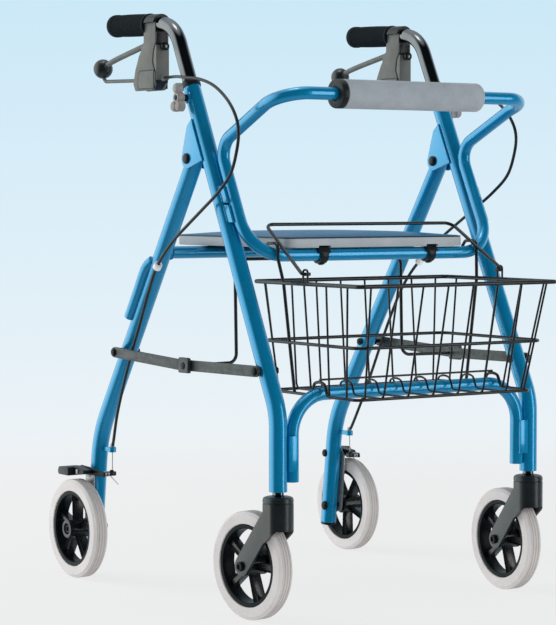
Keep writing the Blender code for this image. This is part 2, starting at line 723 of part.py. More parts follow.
def long_wire(x):
    """One wire down the front panel, along the floor and up the rear panel."""
    rim_z, floor_z = RIM_RING[3], FLOOR_RING[3]
    path = [((x, RIM_RING[1], rim_z), 0), ((x, FLOOR_RING[1], floor_z), 0.01)] + hump(x)
    path += [((x, FLOOR_RING[2], floor_z), 0.01), ((x, RIM_RING[2], rim_z), 0)]
    return solid_tube("long_wire", rounded_path(path, False, WIRE_STEP), THIN_WIRE_R, 4)


def floor_y(y):
    """Where a side wire that leaves the rim at y meets the floor ring."""
    t = (y - RIM_RING[1]) / (RIM_RING[2] - RIM_RING[1])
    return FLOOR_RING[1] + t * (FLOOR_RING[2] - FLOOR_RING[1])


def panel_wire(x, end):
    """A wire of the front or rear panel that stops at the floor ring's corner."""
    top = (x, RIM_RING[end], RIM_RING[3])
    low_x = x - 0.014 if x > 0 else x + 0.014
    return solid_tube("panel_wire", [top, (low_x, FLOOR_RING[end], FLOOR_RING[3])], THIN_WIRE_R, 4)


def side_wire(s, y):
    return solid_tube("side_wire", [(s * RIM_RING[0], y, RIM_RING[3]),
                                    (s * FLOOR_RING[0], floor_y(y), FLOOR_RING[3])], THIN_WIRE_R, 4)


def hook_wire(s):
    """The thick side wire that goes on up and over the seat rail."""
    y, z = SEAT_RAIL
    over = LOOP_R + MID_WIRE_R + 0.0012
    x = s * HOOK_X
    path = [((s * FLOOR_RING[0], floor_y(HOOK_Y), FLOOR_RING[3]), 0),
            ((s * RIM_RING[0], HOOK_Y, RIM_RING[3]), 0),
            ((x, y - over, z - 0.004), 0), ((x, y - over, z + over + 0.005), 0.009),
            ((x, y + 0.014, z + over + 0.004), 0.006), ((x, y + 0.021, z + over - 0.004), 0)]
    return solid_tube("hook_wire", rounded_path(path, False, WIRE_STEP), MID_WIRE_R, 6)


def bail_staple(s):
    """The small staple on the rim that the bail handle swings in."""
    y, z = BAIL_FOOT[1:]
    x = s * RIM_RING[0]
    path = [((x, y - 0.0055, RIM_RING[3]), 0), ((x, y - 0.0055, z + 0.006), 0.004),
            ((x, y + 0.0055, z + 0.006), 0.004), ((x, y + 0.0055, RIM_RING[3]), 0)]
    return solid_tube("bail_staple", rounded_path(path, False, WIRE_STEP), THIN_WIRE_R, 4)


def basket():
    wires = ring_wire("basket", RIM_RING[3], RIM_WIRE_R, 0.008, 6)
    join(wires, ring_wire("mid_ring", MID_RING_Z, MID_WIRE_R, 0.018, 6), floor_ring())
    half = FLOOR_RING[0]
    tie = [(-half, FRONT_FOOT_Y, HUMP_Z), (half, FRONT_FOOT_Y, HUMP_Z)]
    join(wires, solid_tube("floor_tie", tie, THIN_WIRE_R, 6))
    for s in (-1, 1):
        for x in LONG_WIRES_X:
            join(wires, long_wire(s * x))
        for end in (1, 2):
            join(wires, panel_wire(s * FLOOR_RING[0], end))
        for y in SIDE_WIRES_Y:
            join(wires, side_wire(s, y))
        join(wires, hook_wire(s), bail_staple(s))
    return keep(wires, WIRE)


def basket_handle():
    x, y, z = BAIL_FOOT
    half = [((x - 0.013, y, z), 0), ((x, y, z), 0.004), (BAIL_TOP, 0.014)]
    other = [((-px, py, pz), radius) for (px, py, pz), radius in half]
    path = rounded_path(half + other[::-1], False, WIRE_STEP)
    return keep(tube("basket_handle", path, BAIL_R, 8), WIRE)


def grip_z(y):
    return HANDLE_BEND[1] + GRIP_SLOPE * (y - HANDLE_BEND[0])


def handle_tube(side, s):
    top = point(s * LEG_X, (front_leg_y(FRONT_TOP_Z), FRONT_TOP_Z))
    path = [(top - FRONT_DIR * HANDLE_INSERT, 0), (point(s * LEG_X, HANDLE_BEND), HANDLE_BEND_R),
            (point(s * LEG_X, HANDLE_END), 0)]
    return keep(tube("handle_tube_" + side, rounded_path(path), TUBE_R, 16), CHROME)


def handle_grip(side, s):
    """A round grip with a flared, domed end, bored for the handle tube."""
    stations = ((GRIP_FRONT_Y, 0.0168), (0.196, 0.0160), (0.203, 0.0172), (0.212, 0.0170),
                (0.2165, 0.0130), (GRIP_END_Y, 0.007))
    curve = tube("handle_grip_" + side, [(s * LEG_X, y, grip_z(y)) for y, r in stations], GRIP_R, 16)
    for place, (y, radius) in zip(curve.data.splines[0].points, stations):
        place.radius = radius / GRIP_R
    grip = as_mesh(curve)
    bore = rod("grip_bore", (s * LEG_X, 0.09, grip_z(0.09)), (s * LEG_X, 0.2125, grip_z(0.2125)),
               TUBE_R + 2 * GAP)
    return keep(cut(grip, bore), BLACK)


def brake_housing(side, s):
    """A clamp round the handle tube with a slotted body below it that holds the lever."""
    outline = ((0.0755, 0.832), (0.1065, 0.832), (0.1095, 0.812), (0.122, 0.784), (0.1355, 0.752),
               (0.1315, 0.7447), (0.092, 0.7435), (0.0755, 0.756))
    half = 0.0115
    centre = s * LEG_X
    body = plate("brake_housing_" + side, outline, centre - half, centre + half)
    clamp = rod("clamp_ring", (centre, 0.0755, grip_z(0.0755)), (centre, 0.1065, grip_z(0.1065)),
                0.0155, 16)
    bore = rod("clamp_bore", (centre, 0.05, grip_z(0.05)), (centre, 0.13, grip_z(0.13)),
               TUBE_R + 2 * GAP)
    slot = plate("lever_slot", ((0.0855, 0.8215), (0.16, 0.8215), (0.16, 0.73), (0.0925, 0.73),
                                (0.0855, 0.757)), centre - 0.0062, centre + 0.0062)
    pin = rod("lever_pin", (centre - half + 0.001, *LEVER_PIVOT), (centre + half - 0.001, *LEVER_PIVOT),
              0.003, 8)
    adjuster = rod("adjuster", (centre, 0.0762, 0.8085), (centre, 0.0655, 0.8085), 0.0062, 10)
    ferrule = rod("ferrule", (centre, 0.0765, 0.7627), (centre, 0.0712, 0.7627), 0.0034, 8)
    return keep(join(cut(join(body, clamp), bore, slot), pin, adjuster, ferrule), GREY)


def brake_lever(side, s):
    """A loop lever: two rods from the core in the housing's slot to the ball."""
    centre = s * LEG_X
    y, z = LEVER_PIVOT
    outline = ((y - 0.012, z - 0.009), (y + 0.016, z - 0.0125), (y + 0.021, z - 0.002),
               (y + 0.013, z + 0.050), (y - 0.002, z + 0.046), (y - 0.013, z + 0.007))
    core = plate("brake_lever_" + side, outline, centre - 0.0055, centre + 0.0055)
    upper = rod("upper_rod", (centre, y + 0.008, 0.8135), (centre, LEVER_BALL[0] - 0.008, 0.7868),
                LEVER_ROD_R, 8)
    lower_path = [((centre, y + 0.005, 0.7608), 0), ((centre, LEVER_BALL[0] - 0.006, 0.7640), 0.008),
                  ((centre, LEVER_BALL[0], LEVER_BALL[1] - 0.006), 0)]
    lower = solid_tube("lower_rod", rounded_path(lower_path), 0.0028, 8)
    knob = ball("lever_ball", (centre, *LEVER_BALL), BALL_R)
    hole = rod("lever_hole", (centre - 0.02, y, z), (centre + 0.02, y, z), 0.0035, 8)
    return keep(cut(join(core, upper, lower, knob), hole), GREY)


def clamp_knob(side, s):
    """A three-lobed knob whose bolt passes through the leg's wall onto the handle tube."""
    centre = point(0, (front_leg_y(KNOB_Z), KNOB_Z))
    def at(x, dy=0.0, dz=0.0):
        return centre + Vector((s * x, dy, dz))
    hub = rod("clamp_knob_" + side, at(KNOB_X), at(KNOB_X + 0.011), 0.0085, 14)
    shank = rod("knob_bolt", at(LEG_X + TUBE_R + 0.0006), at(KNOB_X + 0.002), BOLT_R, 12)
    collar = rod("knob_collar", at(LEG_X + LEG_R + 2 * GAP), at(KNOB_X + 0.001), 0.0052, 12)
    for dy, dz in KNOB_LOBES:
        join(hub, rod("knob_lobe", at(KNOB_X + 0.002, dy, dz), at(KNOB_X + 0.013, dy, dz),
                      KNOB_LOBE_R, 14))
    return keep(join(hub, shank, collar), GREY)


def brake_arm(side, s):
    """The arm outside the rear leg: a cable block in front and a shoe over the tyre behind."""
    def span(x0, x1):
        return sorted((s * x0, s * x1))
    y, z = BRAKE_PIVOT
    arm = plate("brake_arm_" + side, ((0.2215, 0.1595), (0.2225, 0.1665), (0.2700, 0.1705),
                                      (0.2960, 0.1715), (0.2960, 0.1605), (0.2700, 0.1585)),
                *span(0.2387, 0.2417))
    left, right = span(0.2195, 0.2400)
    cable_block = block("cable_block", (left, 0.2215, 0.1605), (right, 0.2320, 0.1670))
    shoe = plate("shoe", ((0.2860, 0.1570), (0.3175, 0.1570), (0.3196, 0.1625), (0.3165, 0.1690),
                          (0.2860, 0.1710)), *span(0.2400, 0.2690))
    hole = rod("arm_hole", point(s * 0.23, (y, z)), point(s * 0.25, (y, z)), BOLT_HOLE_R, 12)
    return keep(cut(join(arm, cable_block, shoe), hole), BLACK)


def brake_cable(side, s):
    route = [(s * x, y, z) for x, y, z in CABLE_ROUTE]
    return keep(tube("brake_cable_" + side, smooth_path(route, 0.025), CABLE_R, 6), BLACK)


def caster_fork(side, stem):
    """Round crown with two slanted arms and the stem, built in the caster's own frame."""
    axle = (CASTER_TRAIL, WHEEL_R)
    arms = [(-0.006, 0.128), (-0.006, 0.150), (0.0065, 0.1614)]
    arms += arc(axle, FORK_BOSS_R, 39, -141, 6) + [FORK_SIDE]
    fork = plate("caster_fork_" + side, arms, -FORK_HALF, FORK_HALF)
    crown = rod("crown", (0, 0, FORK_SIDE[1] + 0.0005), (0, 0, FORK_TOP_Z), FORK_R, 20)
    wheel_gap = rod("wheel_gap", (-FORK_SLOT, *axle), (FORK_SLOT, *axle), WHEEL_R + 0.0035, 24)
    slot = block("slot", (-FORK_SLOT, -0.05, 0.0), (FORK_SLOT, 0.12, FORK_SLOT_Z))
    front = plate("front_cut", [(-0.05, FORK_SLOT_Z), (-0.0146, FORK_SLOT_Z), FORK_SIDE,
                                (FORK_SIDE[0], 0.05), (-0.05, 0.05)], -0.03, 0.03)
    flats = [block("flat", (low, -0.03, 0.1), (low + 0.02, 0.03, FORK_LIP_Z))
             for low in (-FORK_HALF - 0.02, FORK_HALF)]
    axle_hole = rod("axle_hole", (-0.05, *axle), (0.05, *axle), HUB_BORE_R, 8)
    pin = rod("stem", (0, 0, FORK_TOP_Z - 0.02), (0, 0, STEM_TOP_Z), STEM_R, 10)
    cutters = [wheel_gap, slot, front, *flats, axle_hole]
    join(cut(join(fork, crown), *cutters), pin)
    move_into(stem, (*cutters, crown, pin, fork))
    return keep(fork, BLACK)


def front_axle(side, place, yaw):
    axle = rod("front_axle_" + side, (-FORK_HALF - 0.003, 0, 0), (FORK_HALF + 0.003, 0, 0), AXLE_R, 8)
    heads = [rod("axle_head", (sign * (FORK_HALF + GAP), 0, 0), (sign * (FORK_HALF + 0.0045), 0, 0),
                 0.0068, 12) for sign in (-1, 1)]
    join(axle, *heads)
    move_into(Matrix.Translation(place) @ Matrix.Rotation(yaw, 4, "Z"), [axle] + heads)
    return keep(axle, STEEL)


def tyre(name, place, yaw):
    w = TYRE_W / 2
    shoulder = WHEEL_R - TYRE_EDGE
    profile = ((TYRE_BORE_R, w), (shoulder, w), (WHEEL_R, w - TYRE_EDGE),
               (WHEEL_R, TYRE_EDGE - w), (shoulder, -w), (TYRE_BORE_R, -w))
    return keep(turned(name, profile, WHEEL_STEPS, place, yaw), TYRE)


def spoke(angle):
    """A spoke that widens outwards; its angle is in degrees from +Y towards +Z."""
    inner, outer = 0.010, (RIM_R + RIM_BORE_R) / 2
    corners = ((inner, -SPOKE_HALF[0]), (outer, -SPOKE_HALF[1]), (outer, SPOKE_HALF[1]),
               (inner, SPOKE_HALF[0]))
    y, z = cos(radians(angle)), sin(radians(angle))
    outline = [(out * y - across * z, out * z + across * y) for out, across in corners]
    return plate("spoke", outline, -SPOKE_W / 2, SPOKE_W / 2)


def rim(name, place, yaw, hub_low, hub_high, turn):
    """Outer ring, hub and spokes joined into one casting, with the axle bore."""
    w = RIM_W / 2
    profile = ((RIM_R, w), (RIM_R, -w), (RIM_BORE_R, -w), (RIM_BORE_R, w))
    ring = turned(name, profile, WHEEL_STEPS, place, yaw)
    hub = rod("hub", (hub_low, 0, 0), (hub_high, 0, 0), HUB_R, 14)
    spokes = [spoke(turn + 360 / SPOKES * k) for k in range(SPOKES)]
    bore = rod("hub_bore", (-0.05, 0, 0), (0.05, 0, 0), HUB_BORE_R, 8)
    move_into(Matrix.Translation(place) @ Matrix.Rotation(yaw, 4, "Z"), [hub, bore] + spokes)
    return keep(cut(join(ring, hub, *spokes), bore), BLACK)


def rear_rim(side, s, place):
    """A rim whose hub stands out of the wheel, with a recess round the axle's head."""
    hub_low, hub_high = sorted((-s * REAR_HUB[0], s * REAR_HUB[1]))
    casting = rim("rear_rim_" + side, place, 0, hub_low, hub_high, SPOKE_TURN["rear_" + side])
    outer = REAR_WHEEL_X + REAR_HUB[1]
    recess = rod("hub_recess", point(s * (outer - HUB_RECESS[1]), REAR_AXLE),
                 point(s * (outer + 0.01), REAR_AXLE), HUB_RECESS[0], 16)
    return cut(casting, recess)


def joint_empty(name, location, children):
    """An empty on a joint's axis; its children keep their place in the world."""
    empty = bpy.data.objects.new(name, None)
    empty.location = location
    PARTS.objects.link(empty)
    bpy.context.view_layer.update()
    for child in children:
        child.parent = empty
        child.matrix_parent_inverse = empty.matrix_world.inverted()
    return empty


def caster(side, s):
    yaw = CASTER_YAW[side]
    stem = Matrix.Translation((s * LEG_X, FRONT_FOOT_Y, 0)) @ Matrix.Rotation(yaw, 4, "Z")
    place = stem @ Vector((0, CASTER_TRAIL, WHEEL_R))
    fork = caster_fork(side, stem)
    axle = front_axle(side, place, yaw)
    wheel = [tyre("front_tyre_" + side, place, yaw),
             rim("front_rim_" + side, place, yaw, -FRONT_HUB, FRONT_HUB, SPOKE_TURN["front_" + side])]
    spin = joint_empty("front_wheel_axis_" + side, place, wheel)
    joint_empty("caster_axis_" + side, (s * LEG_X, FRONT_FOOT_Y, 0), [fork, axle, spin])


def build():
    front = [seat_back_loop(), lower_cross_tube(), backrest_pad()]
    rear = [rear_rail()]
    front_links = [fold_rod()]
    rear_links = []
    for side, s in SIDES.items():
        front += [front_leg(side, s), pivot_gusset(side, s), leg_top_collar(side, s),
                  bolt("pivot_bolt_" + side, PIVOT, s, 0.207, 0.238, 0.0042, 0.0078, 0.0045, 0.005),
                  brace_bolt("front_brace_bolt_" + side, FRONT_BRACE, s, FRONT_STRAP_X[1])]
        rear += [rear_leg(side, s), cable_guard(side, s), axle_plate(side, s),
                 brace_bolt("rear_brace_bolt_" + side, REAR_BRACE, s, REAR_STRAP_X[1]),
                 brake_cable(side, s)]
        front_links.append(front_brace(side, s))
        rear_links.append(rear_brace(side, s))
        caster(side, s)
        place = point(s * REAR_WHEEL_X, REAR_AXLE)
        wheel = [tyre("rear_tyre_" + side, place, 0), rear_rim(side, s, place)]
        joint_empty("rear_wheel_axis_" + side, place, wheel)
        joint_empty("brake_arm_axis_" + side, point(s * LEG_X, BRAKE_PIVOT), [brake_arm(side, s)])
        knob_place = point(s * KNOB_X, (front_leg_y(KNOB_Z), KNOB_Z))
        joint_empty("clamp_knob_axis_" + side, knob_place, [clamp_knob(side, s)])
        lever = joint_empty("brake_lever_axis_" + side, (s * LEG_X, *LEVER_PIVOT), [brake_lever(side, s)])
        leg_top = point(s * LEG_X, (front_leg_y(FRONT_TOP_Z), FRONT_TOP_Z))
        joint_empty("handle_slide_axis_" + side, leg_top,
                    [handle_tube(side, s), handle_grip(side, s), brake_housing(side, s), lever])
    joint_empty("fold_axis", point(0, PIVOT), rear)
    joint_empty("front_brace_axis", point(0, FRONT_BRACE), front_links)
    joint_empty("rear_brace_axis", point(0, REAR_BRACE), rear_links)
    seat = [seat_cushion(), seat_board()] + [seat_clip(side, s) for side, s in SIDES.items()]
    joint_empty("seat_axis", point(0, SEAT_RAIL), seat)
    bail = joint_empty("basket_handle_axis", (0, *BAIL_FOOT[1:]), [basket_handle()])
    joint_empty("basket_lift_axis", (0, RIM_RING[2], RIM_RING[3]), [basket(), bail])
    joint_empty("front_frame", (0, 0, 0), front)


build()
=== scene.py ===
"""Finish of the four-wheel rollator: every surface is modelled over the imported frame.

Metres, +Z up, -Y forward, +X to the user's left. "s" is the x direction of a side: -1 for the
right one, 1 for the left one. An outward x is measured along it.
"""
import bpy
from math import atan2, cos, degrees, pi, radians, sin, tan
from mathutils import Matrix, Vector


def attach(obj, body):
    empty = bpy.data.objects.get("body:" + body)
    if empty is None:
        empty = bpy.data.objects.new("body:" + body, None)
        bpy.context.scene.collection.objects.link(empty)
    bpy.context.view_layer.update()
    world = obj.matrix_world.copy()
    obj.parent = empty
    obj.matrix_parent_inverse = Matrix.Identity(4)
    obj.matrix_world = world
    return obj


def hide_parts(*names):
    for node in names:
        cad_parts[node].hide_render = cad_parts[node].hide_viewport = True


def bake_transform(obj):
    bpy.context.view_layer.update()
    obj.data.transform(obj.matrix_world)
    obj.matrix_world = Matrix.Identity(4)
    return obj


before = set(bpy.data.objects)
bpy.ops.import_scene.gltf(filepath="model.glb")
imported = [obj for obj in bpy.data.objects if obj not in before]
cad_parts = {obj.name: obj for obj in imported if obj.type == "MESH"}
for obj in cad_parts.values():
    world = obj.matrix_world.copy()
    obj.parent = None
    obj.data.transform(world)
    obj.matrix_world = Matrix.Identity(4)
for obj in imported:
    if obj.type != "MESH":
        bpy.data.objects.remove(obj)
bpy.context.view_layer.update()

SIDES = {"right": -1, "left": 1}
ORIGIN = Vector((0, 0, 0))
X_AXIS = Vector((1, 0, 0))
Z_AXIS = Vector((0, 0, 1))
AHEAD = (0, -1, 0)
FINE_ARC = radians(5)
COARSE_ARC = radians(10)
ALL = (bpy.ops.mesh.select_all, {"action": "SELECT"})
FACES = (bpy.ops.mesh.select_mode, {"type": "FACE"})
OUTWARDS = (bpy.ops.mesh.normals_make_consistent, {"inside": False})
MERGE_WITHIN = 0.00001
CURVE_STEPS = 20
BEAD_STEP = 0.0009
BEAD_RIPPLE = 0.22

# Frame tubes
LEG_X = 0.2225
LEG_R = 0.0127
LEG_WALL = 0.0012
FRONT_LEAN = 0.4923
FRONT_REF = (-0.022, 0.712)
FRONT_TOP_Z = 0.745
FRONT_FOOT_Y = -0.229
FRONT_FOOT_Z = 0.184
FRONT_BEND_R = 0.086
REAR_LEAN = 0.664
REAR_REF = (0.0068, 0.6103)
REAR_BEND = (0.2654, 0.2208)
REAR_BEND_R = 0.16
REAR_FOOT = (0.2857, 0.044)
REAR_OVER_PIVOT = 0.014
PIVOT = (-0.0158, 0.643)
LOOP_X = 0.2165
LOOP_R = 0.009
SEAT_RAIL = (-0.1485, 0.506)
LOOP_SHOULDER = (-0.0711, 0.6608)
LOOP_TOP = (-0.236, 0.7305)
WEB_X = (0.2258, 0.2296)
WEB_Z = ((0.5525, 0.577), (0.580, 0.6035))
WEB_GAP = 0.0120
CROSS_TUBE_R = 0.0095
CROSS_TUBE_X = 0.1995
CROSS_TUBE_Z = 0.316
CROSS_FOOT_Z = 0.196
WELD_PLATE_X = (0.1968, 0.2116)
WELD_PLATE_Z = (0.2115, 0.2605)
REAR_RAIL_Z = 0.506
REAR_RAIL_R = 0.0092
PAD_X = (-0.133, 0.118)
PAD_R = 0.0205
PAD_BAND = 0.011
GUSSET_Z = (0.700, 0.640)
CHEEK_X = (0.2072, 0.2354)
CHEEK_T = 0.0026
FRONT_DIR = Vector((0, FRONT_LEAN, 1)).normalized()
REAR_DIR = Vector((0, -REAR_LEAN, 1)).normalized()

# Handles
TUBE_R = 0.0108
HANDLE_INSERT = 0.115
HANDLE_BEND = (0.0415, 0.8395)
HANDLE_BEND_R = 0.055
HANDLE_END = (0.212, 0.8462)
GRIP_FRONT_Y = 0.108
GRIP_END_Y = 0.218
GRIP_SLOPE = (HANDLE_END[1] - HANDLE_BEND[1]) / (HANDLE_END[0] - HANDLE_BEND[0])
KNOB_Z = 0.730
KNOB_X = 0.2435
KNOB_LOBES = ((0, 0.0132), (0.0062, -0.0122), (-0.0062, -0.0122))
KNOB_LOBE_R = 0.0078
LEVER_PIVOT = (0.112, 0.765)
LEVER_BALL = (0.2530, 0.7835)
LEVER_ROD_R = (0.0042, 0.0028)
BALL_R = 0.0148
CASING_HALF = 0.0115
ADJUSTER_Z = 0.8085
GRIP_RINGS = 22
GRIP_RING = ((0.0155, 0.12), (0.0162, 0.35), (0.0162, 0.75), (0.0155, 0.98))
GRIP_BELLY = 0.0006
GRIP_TAIL = 0.0175
CLAMP_Y = (0.0770, 0.1060)

# Wheels
WHEEL_R = 0.076
TYRE_W = 0.0245
TYRE_EDGE = 0.004
TYRE_CREASE = 28
TYRE_GAP = 0.0035
TYRE_BORE_R = 0.0583
RIM_R = 0.058
RIM_BORE_R = 0.0515
RIM_W = 0.0215
HUB_R = 0.0145
ROUND_STEPS = 112
SPOKES = 5
SPOKE_FOOT_R = 0.0105
SPOKE_W = 0.0145
SPOKE_HALF = (0.0042, 0.0060)
SPOKE_TURN = {"front_right": 35, "front_left": 35, "rear_right": 18, "rear_left": 54}
CASTER_TRAIL = 0.0555
CASTER_YAW = {"right": radians(6.5), "left": radians(-3.5)}
STEM_R = 0.006
STEM_TOP_Z = 0.211
FORK_R = 0.0215
FORK_TOP_Z = 0.1775
FORK_LIP_Z = 0.1685
FORK_SLOT = 0.0165
FORK_SLOT_Z = 0.1310
FORK_HALF = 0.0205
FORK_BOSS_R = 0.0145
FORK_SIDE = (0.0077, 0.1129)
FRONT_HUB = 0.0155
REAR_WHEEL_X = 0.2565
REAR_HUB = (0.015, 0.020)
HUB_RECESS = (0.0085, 0.006)
REAR_AXLE = (0.2775, 0.076)
AXLE_R = 0.004
HUB_BORE_R = 0.0047

# Locking linkage
FRONT_BRACE = (-0.201, 0.3485)
REAR_BRACE = (0.177, 0.354)
BRACE_JOINT = (-0.0235, 0.346)
FRONT_STRAP_X = (0.2382, 0.2432)
REAR_STRAP_X = (0.2440, 0.2490)
STRAP_H = 0.0155
NUT_H = 0.004
NUT_ACROSS = 0.0105
HEX_SPREAD = 1.1547
BOLT_R = 0.0031
ROD_R = 0.0025
ROD_X = 0.151
ROD_HEEL = (-0.0125, 0.346)
ROD_TOP = (-0.0085, 0.497)

# Seat
SEAT_X = 0.157
SEAT_Y = (-0.160, 0.150)
SEAT_HALF_Y = (SEAT_Y[1] - SEAT_Y[0]) / 2
SEAT_CORNER_R = 0.016
SEAT_STEP = 0.012
SEAT_DRAWN_IN = (0.010, 0.004)
SEAT_FOLD_R = 0.0045
SEAT_EDGE_Z = 0.5315
SEAT_BOTTOM_Z = 0.5160
SEAT_CROWN = 0.826
BOARD_X = 0.150
BOARD_Y = (SEAT_Y[0] + 0.009, SEAT_Y[1] - 0.007)
BOARD_BOTTOM_Z = 0.5156
BOARD_TOP_Z = 0.5215
CLIP_X = 0.096
CLIP_HALF = 0.010
CLIP_STEM_HALF = 0.0062
CLIP_R = 0.0128
CLIP_RECESS_Z = 0.5192

# Basket: a ring is its half width, front, rear and height
RIM_RING = (0.1725, -0.3499, -0.093, 0.468)
FLOOR_RING = (0.1535, -0.317, -0.106, 0.3125)
MID_RING_Z = 0.384
RIM_WIRE_R = 0.003
MID_WIRE_R = 0.0024
FLOOR_WIRE_R = 0.00225
THIN_WIRE_R = 0.0015
LONG_WIRES_X = (0.0217, 0.065, 0.108)
SIDE_WIRES_Y = (-0.120, -0.2185, -0.272, -0.322)
HOOK_Y = -0.168
HOOK_X = 0.1775
HUMP_Z = 0.335
HUMP_SIDE_Z = 0.329
BAIL_FOOT = (0.1780, -0.222, 0.4815)
BAIL_TOP = (0.1667, -0.113, 0.549)
BAIL_R = 0.0025

# Brakes: the cable's (outward x, y, z) points run from the housing to the stop on the rear leg
CABLE_R = 0.0023
INNER_WIRE_R = 0.0007
INNER_WIRE_STEPS = 12
CABLE_ROUTE = (
    (0.2225, 0.0708, 0.7627), (0.2232, 0.0600, 0.7627), (0.2305, 0.0350, 0.7622),
    (0.2380, 0.0080, 0.7612), (0.2410, -0.0150, 0.7592), (0.2425, -0.0600, 0.7545),
    (0.2440, -0.1000, 0.7435), (0.2455, -0.1357, 0.7237), (0.2465, -0.1585, 0.7010),
    (0.2470, -0.1675, 0.6780), (0.2472, -0.1628, 0.6510), (0.2472, -0.1470, 0.6200),
    (0.2465, -0.1126, 0.5937), (0.2460, -0.0700, 0.5695), (0.2455, -0.0300, 0.5475),
    (0.2450, 0.0060, 0.5270), (0.2435, 0.0420, 0.5020), (0.2400, 0.0700, 0.4790),
    (0.2365, 0.0900, 0.4560), (0.2345, 0.1060, 0.4330), (0.2335, 0.1191, 0.4110),
    (0.2330, 0.1310, 0.3900), (0.2328, 0.1500, 0.3560), (0.2322, 0.1750, 0.3080),
    (0.2300, 0.2000, 0.2580), (0.2255, 0.2190, 0.2180), (0.2240, 0.2248, 0.2072))
CABLE_STEP = 0.004
CABLE_SETTLED_Y = -0.055
CABLE_CLIP = (0.2412, 0.0605, 0.4868)
CABLE_STOP = (0.2235, 0.227, 0.200)
INNER_WIRE_END = (0.2240, 0.2262, 0.1700)
CABLE_EYE = (0.2268, 0.1637)
GUARD_R = 0.0085
GUARD_TURN = radians(40)
GUARD_LINE = ((0.402, 0.0158), (0.476, 0.0158), (0.490, 0.0096))
PLATE_X = (0.2358, 0.2382)
ARM_X = (0.2387, 0.2417)
BRAKE_PIVOT = (0.2775, 0.1635)

# Studio
CAMERA_PLACE = (-1.980, -2.855, 0.591)
CAMERA_TURN = radians(56.21)
CAMERA_DIP = radians(2.91)
CAMERA_LENS = 133.3
BACKDROP_LOW = -0.18
BACKDROP_HIGH = 0.085
BACKDROP_TONES = ((0.0, (0.88, 0.88, 0.88)), (0.28, (0.84, 0.895, 0.925)),
                  (0.67, (0.705, 0.855, 0.945)), (1.0, (0.60, 0.81, 0.93)))
FILL_TONE = (0.47, 0.505, 0.53)
BEHIND_TONE = (0.40, 0.50, 0.57)
FLOOR_TONE = (0.875, 0.875, 0.875)
FLOOR_GLOW = 0.85
LIT_MIDDLE = Vector((0, 0, 0.45))
FLOOR_SOLID = 0.9
FLOOR_RADIUS = 2.6

# What the room shows to gloss: tone, direction, and the dot products where it starts and is full
GLOSS = (((0.012, 0.016, 0.020), CAMERA_PLACE, -0.75, 0.1),
         ((1.22, 1.31, 1.27), (-0.70, 0.70, 0.12), 0.55, 0.95),
         ((0.70, 0.76, 0.80), (0.93, 0.30, 0.15), 0.86, 0.98),
         ((0.75, 0.78, 0.80), (0, 0.2, 1), 0.75, 0.95),
         ((0.26, 0.30, 0.33), (0, 0, -1), 0.35, 0.95))
SOFTBOXES = (("left_rear", (-2.0, 2.9, 1.3), (2.2, 2.4), 100),
             ("right", (1.95, -2.95, 0.70), (1.1, 2.6), 17, True),
             ("right_front", (0.9, -3.5, 0.95), (1.6, 1.6), 40),
             ("overhead", (-0.2, 0.2, 3.6), (0.9, 0.9), 8, True))


# Small helpers

def only(*pieces):
    """Select just these pieces, the first one active."""
    bpy.ops.object.select_all(action="DESELECT")
    for piece in pieces:
        piece.select_set(True)
    bpy.context.view_layer.objects.active = pieces[0]
    return pieces[0]


def added(operator, **settings):
    """The object that an operator adds, the only one selected."""
    bpy.ops.object.select_all(action="DESELECT")
    operator(**settings)
    return bpy.context.object


def set_down(piece):
    """Put the piece's place, turn and size into its mesh."""
    only(piece)
    bpy.ops.object.transform_apply(location=True, rotation=True, scale=True)
    return piece


def apply(piece, kind, **settings):
    """Add a modifier, set it and apply it."""
    only(piece)
    step = piece.modifiers.new(kind.lower(), kind)
    for name, value in settings.items():
        setattr(step, name, value)
    bpy.ops.object.modifier_apply(modifier=step.name)
    return piece


def bevelled(piece, width, segments=3, angle=40):
    if width:
        apply(piece, "BEVEL", width=width, segments=segments, limit_method="ANGLE",
              angle_limit=radians(angle))
    return piece


def edit(piece, *steps):
    """Run edit mode operators, each given as (operator, settings)."""
    only(piece)
    bpy.ops.object.mode_set(mode="EDIT")
    for operator, settings in steps:
        operator(**settings)
    bpy.ops.object.mode_set(mode="OBJECT")
    return piece


def merged(piece):
    """Join doubled points and turn every face outwards."""
    return edit(piece, ALL, (bpy.ops.mesh.remove_doubles, {"threshold": MERGE_WITHIN}), OUTWARDS)


def filled(piece):
    """Close the open ends of a skin."""
    return edit(piece, (bpy.ops.mesh.select_mode, {"type": "EDGE"}),
                (bpy.ops.mesh.select_all, {"action": "DESELECT"}),
                (bpy.ops.mesh.select_non_manifold, {}), (bpy.ops.mesh.edge_face_add, {}), OUTWARDS)


def combined(piece, other, operation="UNION"):
    """Join another closed shape to the piece, or take it out, and use that shape up."""
    apply(piece, "BOOLEAN", operation=operation, solver="EXACT", object=other)
    only(other)
    bpy.ops.object.delete()
    return piece


def cut(piece, *cutters):
    """Take closed shapes out of a piece."""
    for cutter in cutters:
        combined(piece, cutter, "DIFFERENCE")
    return merged(piece)


def joined(*pieces):
    only(*pieces)
    bpy.ops.object.join()
    return bpy.context.object


def pick_faces(piece, test):
    """Select the faces whose normal passes the test."""
    only(piece)
    for item in (*piece.data.vertices, *piece.data.edges):
        item.select = False
    for face in piece.data.polygons:
        face.select = test(face.normal)


def loft(rings):
    """A skin over closed rings of points that all have the same number of points."""
    columns = len(rings[0])
    piece = added(bpy.ops.mesh.primitive_grid_add, x_subdivisions=columns,
                  y_subdivisions=len(rings) - 1)
    for i, vert in enumerate(piece.data.vertices):
        row, column = divmod(i, columns + 1)
        vert.co = rings[row][column % columns]
    return merged(piece)


def along(axis):
    """The turn that brings +Z to an axis."""
    return Vector(axis).to_track_quat("Z", "Y").to_euler()


